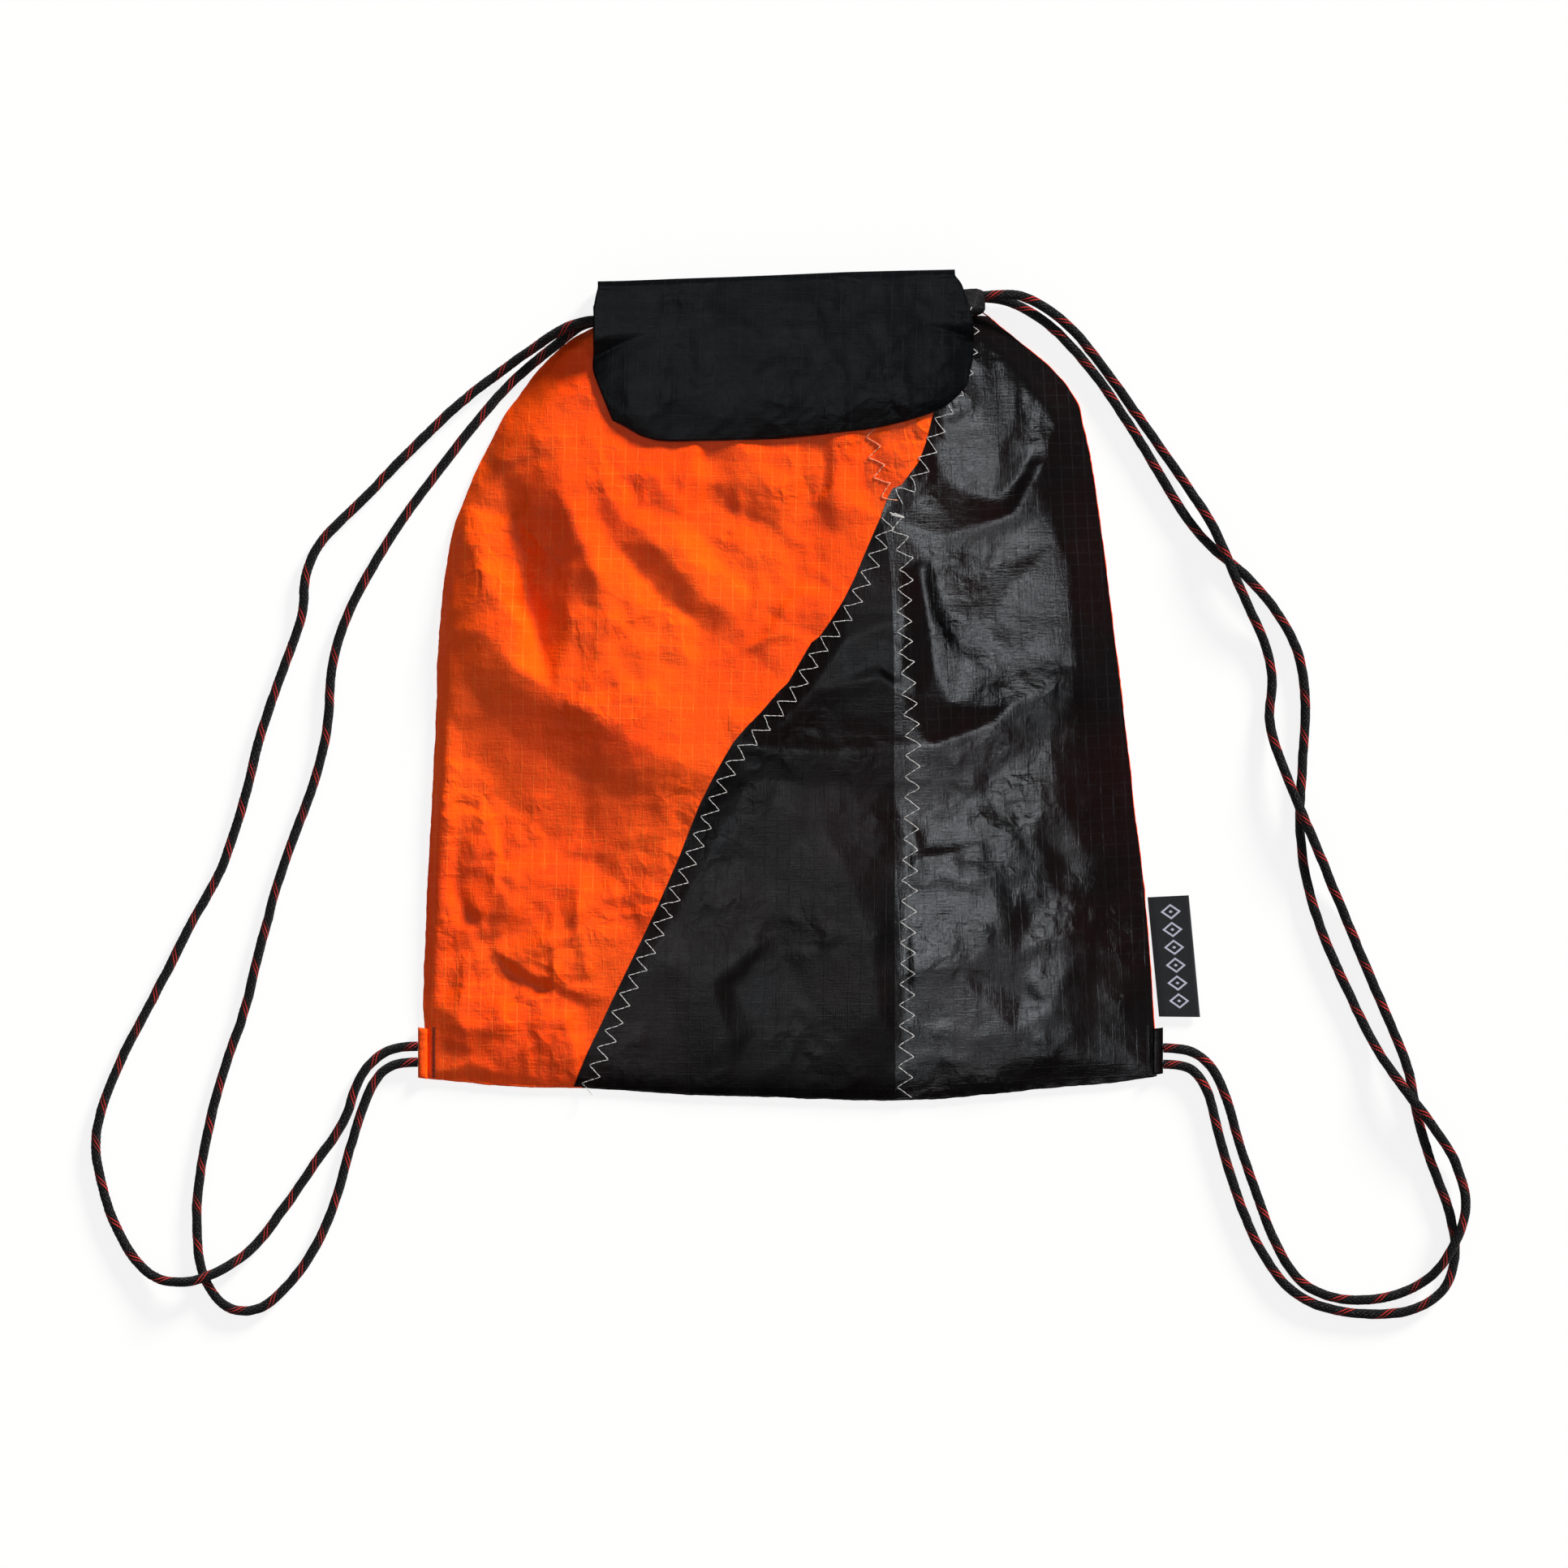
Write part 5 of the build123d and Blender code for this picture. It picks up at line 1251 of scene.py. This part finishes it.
# the fold's line follows the lid's own top edge
lean = np.clip((rise_part[K, 1] - 15) / 7, 0, 1)
fold_shift = (start_c[:, 1][None] - 16.4) * lean
rx2 = riser_x(U) * (1 - lean) + start_c[:, 0][None] * lean
top_rows = from_neck(rx2, rise_part[K, 0] + wob + fold_shift, rise_part[K, 1])
UU, VV = np.meshgrid(us, vs)
plan = lid_plan(UU, VV)
# the lid starts at the fold, so its first rows squeeze into what the fold leaves
squeeze = np.clip(1 - VV * 4, 0, 1) ** 2
plan[..., 1] -= squeeze * 3.4
flat_xy = from_neck(plan[..., 0], plan[..., 1], 0)
lid_z = lid_height(flat_xy[..., 0], flat_xy[..., 1], VV, UU)
lid_z = lid_z * (1 - squeeze * 0.5) + 22.3 * squeeze * 0.5
lid_rows = np.stack((flat_xy[..., 0], flat_xy[..., 1], lid_z), -1)
upper_pts = np.vstack((top_rows, lid_rows[1:]))
upper = make_object("flap_cloth", upper_pts.reshape(-1, 3), grid_faces(len(upper_pts), nu))
thicken(upper, 0.55, offset=-1.0)
dress(upper, flap_cloth)
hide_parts("flap_outer")
n_pt(0, 15.5, 18.6)
n_pt(0, 12.6, 22.2)
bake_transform(upper)

# the lining shows as a thin edge below the lid
UU, VV = np.meshgrid(np.linspace(0.004, 0.996, 130), np.linspace(0.05, 1, 70))
plan = lid_plan(UU, VV, grow=0.75)
plan[..., 1] -= np.clip(1 - VV * 4, 0, 1) ** 2 * 3.4
flat_xy = from_neck(plan[..., 0], plan[..., 1], 0)
under = lid_height(flat_xy[..., 0], flat_xy[..., 1], np.clip(VV, 0, 1), UU) - 0.85
under = np.clip(under, sample(front, flat_xy[..., 0], flat_xy[..., 1]) + 0.45, 22.6)
lining = make_object("flap_lining_cloth", np.stack((flat_xy[..., 0], flat_xy[..., 1], under), -1).reshape(-1, 3), grid_faces(70, 130))
thicken(lining, 0.35, offset=-1.0)
dress(lining, lining_cloth)
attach(lining, "flap")
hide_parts("flap_lining")

# topstitching just inside the free edge
ring_u = np.concatenate((np.full(80, 0.016), np.linspace(0.016, 0.984, 240), np.full(80, 0.984)))
ring_v = np.concatenate((np.linspace(0.1, 0.965, 80), np.full(240, 0.965), np.linspace(0.965, 0.1, 80)))
plan = lid_plan(ring_u, ring_v)
plan[:, 1] -= np.clip(1 - ring_v * 4, 0, 1) ** 2 * 3.4
flat_xy = from_neck(plan[:, 0], plan[:, 1], 0)
zz = lid_height(flat_xy[:, 0], flat_xy[:, 1], ring_v, ring_u)
line = resample(np.column_stack((flat_xy[:, :2], zz)), 0.35)
paths, k = [], 0
while k + 8 < len(line):
    piece = line[k : k + 8].copy()
    piece[:, 2] += np.array((-0.12, 0.10, 0.2, 0.24, 0.24, 0.2, 0.10, -0.12))
    paths.append(piece)
    k += 9
stitches = tubes_object("flap_topstitch", paths, 0.2, 5)
dress(stitches, black_thread)
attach(stitches, "flap")
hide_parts("flap_edge_stitching")

# ------------------------------------------------------------------ the side label
a0, a1 = np.array((175.05, -104.2)), np.array((180.7, -163.0))
b0, b1 = np.array((195.4, -103.2)), np.array((201.0, -163.2))
na, nb = 70, 26
A, B = np.meshgrid(np.linspace(0, 1, na), np.linspace(0, 1, nb))
inner = a0[None, None] * (1 - A[..., None]) + a1[None, None] * A[..., None]
outer_e = b0[None, None] * (1 - A[..., None]) + b1[None, None] * A[..., None]
xy = inner * (1 - B[..., None]) + outer_e * B[..., None]
wave = 0.12 * noise1(A * 4, 131) + 0.08 * noise1(B * 3 + 5, 132)
thin = np.clip((1 - B) / 0.05, 0, 1)
thin = np.sqrt(np.clip(1 - (1 - thin) ** 2, 0, 1))
thin = thin * (0.2 + 0.8 * np.clip(B / 0.12, 0, 1))  # pressed thin where it enters the seam
wave = wave * np.clip(B / 0.12, 0, 1)
top = np.stack((xy[..., 0], xy[..., 1], 1.6 + 0.5 * thin + wave), -1)
bot = np.stack((xy[..., 0], xy[..., 1], 1.6 - 0.5 * thin + wave), -1)
loop = np.vstack((top, bot[::-1][1:]))
label = make_object("woven_side_label", loop.reshape(-1, 3), grid_faces(len(loop), na))
# the label's own directions, for its weave and its row of diamonds
along_l = label.data.attributes.new("label_along", "FLOAT", "POINT")
across_l = label.data.attributes.new("label_across", "FLOAT", "POINT")
la = np.tile(np.linspace(0, 59.5, na), len(loop))
lb = np.concatenate((np.repeat(np.linspace(0, 21, nb), na), np.repeat(np.linspace(21, 0, nb)[1:], na)))
along_l.data.foreach_set("value", la.astype(np.float32))
across_l.data.foreach_set("value", lb.astype(np.float32))


def label_material():
    """Damask label tape: black satin ground with a woven row of small open diamonds."""
    m = principled("label_weave", (0.012, 0.012, 0.014), 0.5, 0.4, 0.1)
    g = Graph(m)
    n1 = g.t.nodes.new("ShaderNodeAttribute")
    n1.attribute_name = "label_along"
    n2 = g.t.nodes.new("ShaderNodeAttribute")
    n2.attribute_name = "label_across"
    a, b = n1.outputs["Fac"], n2.outputs["Fac"]
    cell = g.math("SUBTRACT", g.math("FRACT", g.math("DIVIDE", g.math("SUBTRACT", a, 3.25), 8.8)), 0.5)
    da = g.math("MULTIPLY", g.math("ABSOLUTE", cell), 8.8)
    db = g.math("ABSOLUTE", g.math("SUBTRACT", b, 11.0))
    dist = g.math("ADD", g.math("MULTIPLY", da, 1.35), db)
    ring = g.math("MULTIPLY", g.ramp(dist, 3.5, 3.8), g.ramp(dist, 5.0, 5.3, 1.0, 0.0))
    dot = g.ramp(dist, 0.9, 1.2, 1.0, 0.0)
    ends = g.math("MULTIPLY", g.ramp(a, 3.2, 3.3), g.ramp(a, 56.1, 56.2, 1.0, 0.0))
    mark = g.math("MULTIPLY", g.math("MAXIMUM", ring, dot), ends)
    rib = g.math("SINE", g.math("MULTIPLY", a, 2 * math.pi / 0.42))
    pick = g.math("SINE", g.math("MULTIPLY", b, 2 * math.pi / 0.5))
    satin = g.mix(g.ramp(rib, -0.4, 0.6), (0.30, 0.30, 0.40), (0.56, 0.56, 0.68))
    ground = g.mix(g.ramp(pick, -0.6, 0.8), (0.007, 0.007, 0.009), (0.020, 0.021, 0.024))
    g.put(g.bsdf.inputs["Base Color"], g.mix(mark, ground, satin))
    g.put(g.bsdf.inputs["Normal"], g.bump(g.math("ADD", g.math("MULTIPLY", pick, 0.4), g.math("ADD", g.math("MULTIPLY", mark, 1.6), g.math("MULTIPLY", rib, 0.3))), 0.6, 0.00015))
    return m


dress(label, label_material())
clean(label, 0.000005)
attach(label, "side_label")
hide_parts("side_label")


# ------------------------------------------------------------------ corner tabs and bar-tacks
def corner_tab(name, x_out, x_in, y_low, y_high, material, node, seed):
    """A short folded strip that wraps the cord ends into the corner of the bag."""
    side = 1 if x_out > x_in else -1
    n_y, seg = 40, 22
    ys = np.linspace(y_low, y_high, n_y)
    a = np.linspace(0, 2 * math.pi, seg, endpoint=False)
    rings = []
    for k, y_ in enumerate(ys):
        f = k / (n_y - 1)
        end = math.sqrt(max(0.0, 1 - (2 * f - 1) ** 12)) * 0.35 + 0.65
        swell = 1 + 0.10 * noise1(f * 6, seed) + 0.05 * noise1(f * 15, seed + 1)
        cx = 0.5 * (x_out + x_in)
        hx, hz = abs(x_out - x_in) / 2 * 1.02, 2.2 * end * swell
        xs = cx + hx * np.sign(np.cos(a)) * np.abs(np.cos(a)) ** 0.7
        zs = 2.45 + hz * np.sign(np.sin(a)) * np.abs(np.sin(a)) ** 0.75 * (0.86 + 0.14 * -side * np.cos(a))
        rings.append(np.column_stack((xs, np.full(seg, y_) + 0.4 * np.cos(a) * side, zs)))
    rings = np.array(rings)
    v = rings.reshape(-1, 3)
    f = grid_faces(n_y, seg, True)
    c0, c1 = len(v), len(v) + 1
    v = np.vstack((v, rings[0].mean(0, keepdims=True), rings[-1].mean(0, keepdims=True)))
    idx, nxt = np.arange(seg), (np.arange(seg) + 1) % seg
    last = (n_y - 1) * seg
    caps = np.vstack((np.stack((nxt, idx, np.full(seg, c0), np.full(seg, c0)), -1), np.stack((last + idx, last + nxt, np.full(seg, c1), np.full(seg, c1)), -1)))
    obj = clean(make_object(name, v, np.vstack((f, caps))), 0.000001)
    dress(obj, material)
    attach(obj, "root")
    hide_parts(node)
    return obj


corner_tab("left_corner_loop", -184.2, -179.6, -193.3, -168.6, orange_main, "left_corner_tab", 141)
corner_tab("right_corner_loop", 182.6, 177.4, -191.3, -168.7, black_main, "right_corner_tab", 143)


def bartack(name, x_at, y_low, y_high, node, seed):
    """A dense narrow zigzag that holds a corner."""
    rng = np.random.default_rng(seed)
    pts, y_, side = [], y_low, 1
    while y_ < y_high:
        pts.append((x_at(y_) + side * 0.75 + rng.normal(0, 0.08), y_))
        y_ += 0.45
        side = -side
    pts = np.array(pts)
    path = lift(pts, 0.15)
    obj = tubes_object(name, [path], 0.3, 6)
    dress(obj, black_thread)
    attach(obj, "root")
    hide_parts(node)
    return obj


bartack("left_bartack", lambda y_: -176.4 + 0.01 * (y_ + 180), -193.0, -168.2, "left_corner_bartack", 151)
bartack("right_bartack", lambda y_: 175.0, -191.0, -167.5, "right_corner_bartack", 152)

# ------------------------------------------------------------------ floor and light
floor_mesh = bpy.data.meshes.new("floor")
floor_mesh.from_pydata([(-9, -9, 0), (9, -9, 0), (9, 9, 0), (-9, 9, 0)], [], [(0, 1, 2, 3)])
floor = bpy.data.objects.new("floor", floor_mesh)
floor.location = (0, 0, -0.0004)
scene.collection.objects.link(floor)
floor_paint = principled("floor_paint", (0.14, 0.14, 0.14), 0.9, 0.0)
floor_paint.node_tree.nodes["Principled BSDF"].inputs["Emission Color"].default_value = (1, 1, 1, 1)
floor_paint.node_tree.nodes["Principled BSDF"].inputs["Emission Strength"].default_value = 0.85
floor.data.materials.append(floor_paint)
floor.visible_glossy = False

world = bpy.data.worlds.new("studio")
world.use_nodes = True
world_nodes = world.node_tree.nodes
path_kind = world_nodes.new("ShaderNodeLightPath")
pick = world_nodes.new("ShaderNodeMix")
pick.data_type = "FLOAT"
pick.inputs[2].default_value = 0.025  # a dark room, so that the sheen comes from the lamps alone
pick.inputs[3].default_value = 0.93  # behind a pale backdrop
world.node_tree.links.new(path_kind.outputs["Is Camera Ray"], pick.inputs[0])
world.node_tree.links.new(pick.outputs[0], world_nodes["Background"].inputs[1])
world_nodes["Background"].inputs[0].default_value = (0.97, 0.98, 1.0, 1)
scene.world = world


def aim(obj, direction):
    obj.rotation_euler = Vector(direction).to_track_quat("-Z", "Y").to_euler()


key = bpy.data.lights.new("key", "SUN")
key.energy = 2.55 * math.pi
key.angle = math.radians(12)
key.color = (1.0, 0.975, 0.94)
key_obj = bpy.data.objects.new("key", key)
scene.collection.objects.link(key_obj)
az, el = math.radians(40), math.radians(18)
aim(key_obj, (-math.sin(az) * math.cos(el), -math.cos(az) * math.cos(el), -math.sin(el)))
key_obj.visible_glossy = False


fill = bpy.data.lights.new("fill", "SUN")
fill.energy = 0.27 * math.pi
fill.angle = math.radians(110)
fill_obj = bpy.data.objects.new("fill", fill)
scene.collection.objects.link(fill_obj)
aim(fill_obj, (0.1, 0.2, -1))
fill_obj.visible_glossy = False


def softbox(name, place, size, energy, colour):
    """A large soft light that is seen in the sheen of the cloth."""
    light = bpy.data.lights.new(name, "AREA")
    light.shape = "RECTANGLE"
    light.size, light.size_y = size
    light.energy = energy
    light.color = colour
    obj = bpy.data.objects.new(name, light)
    obj.location = place
    scene.collection.objects.link(obj)
    aim(obj, -Vector(place))
    obj.visible_diffuse = False


softbox("window", (-0.46, -0.06, 2.6), (0.75, 0.75), 16.0, (0.90, 0.95, 1.0))
softbox("overhead", (0.20, -1.15, 2.3), (0.9, 0.7), 3.2, (0.90, 0.95, 1.0))

scene.view_settings.view_transform = "Standard"
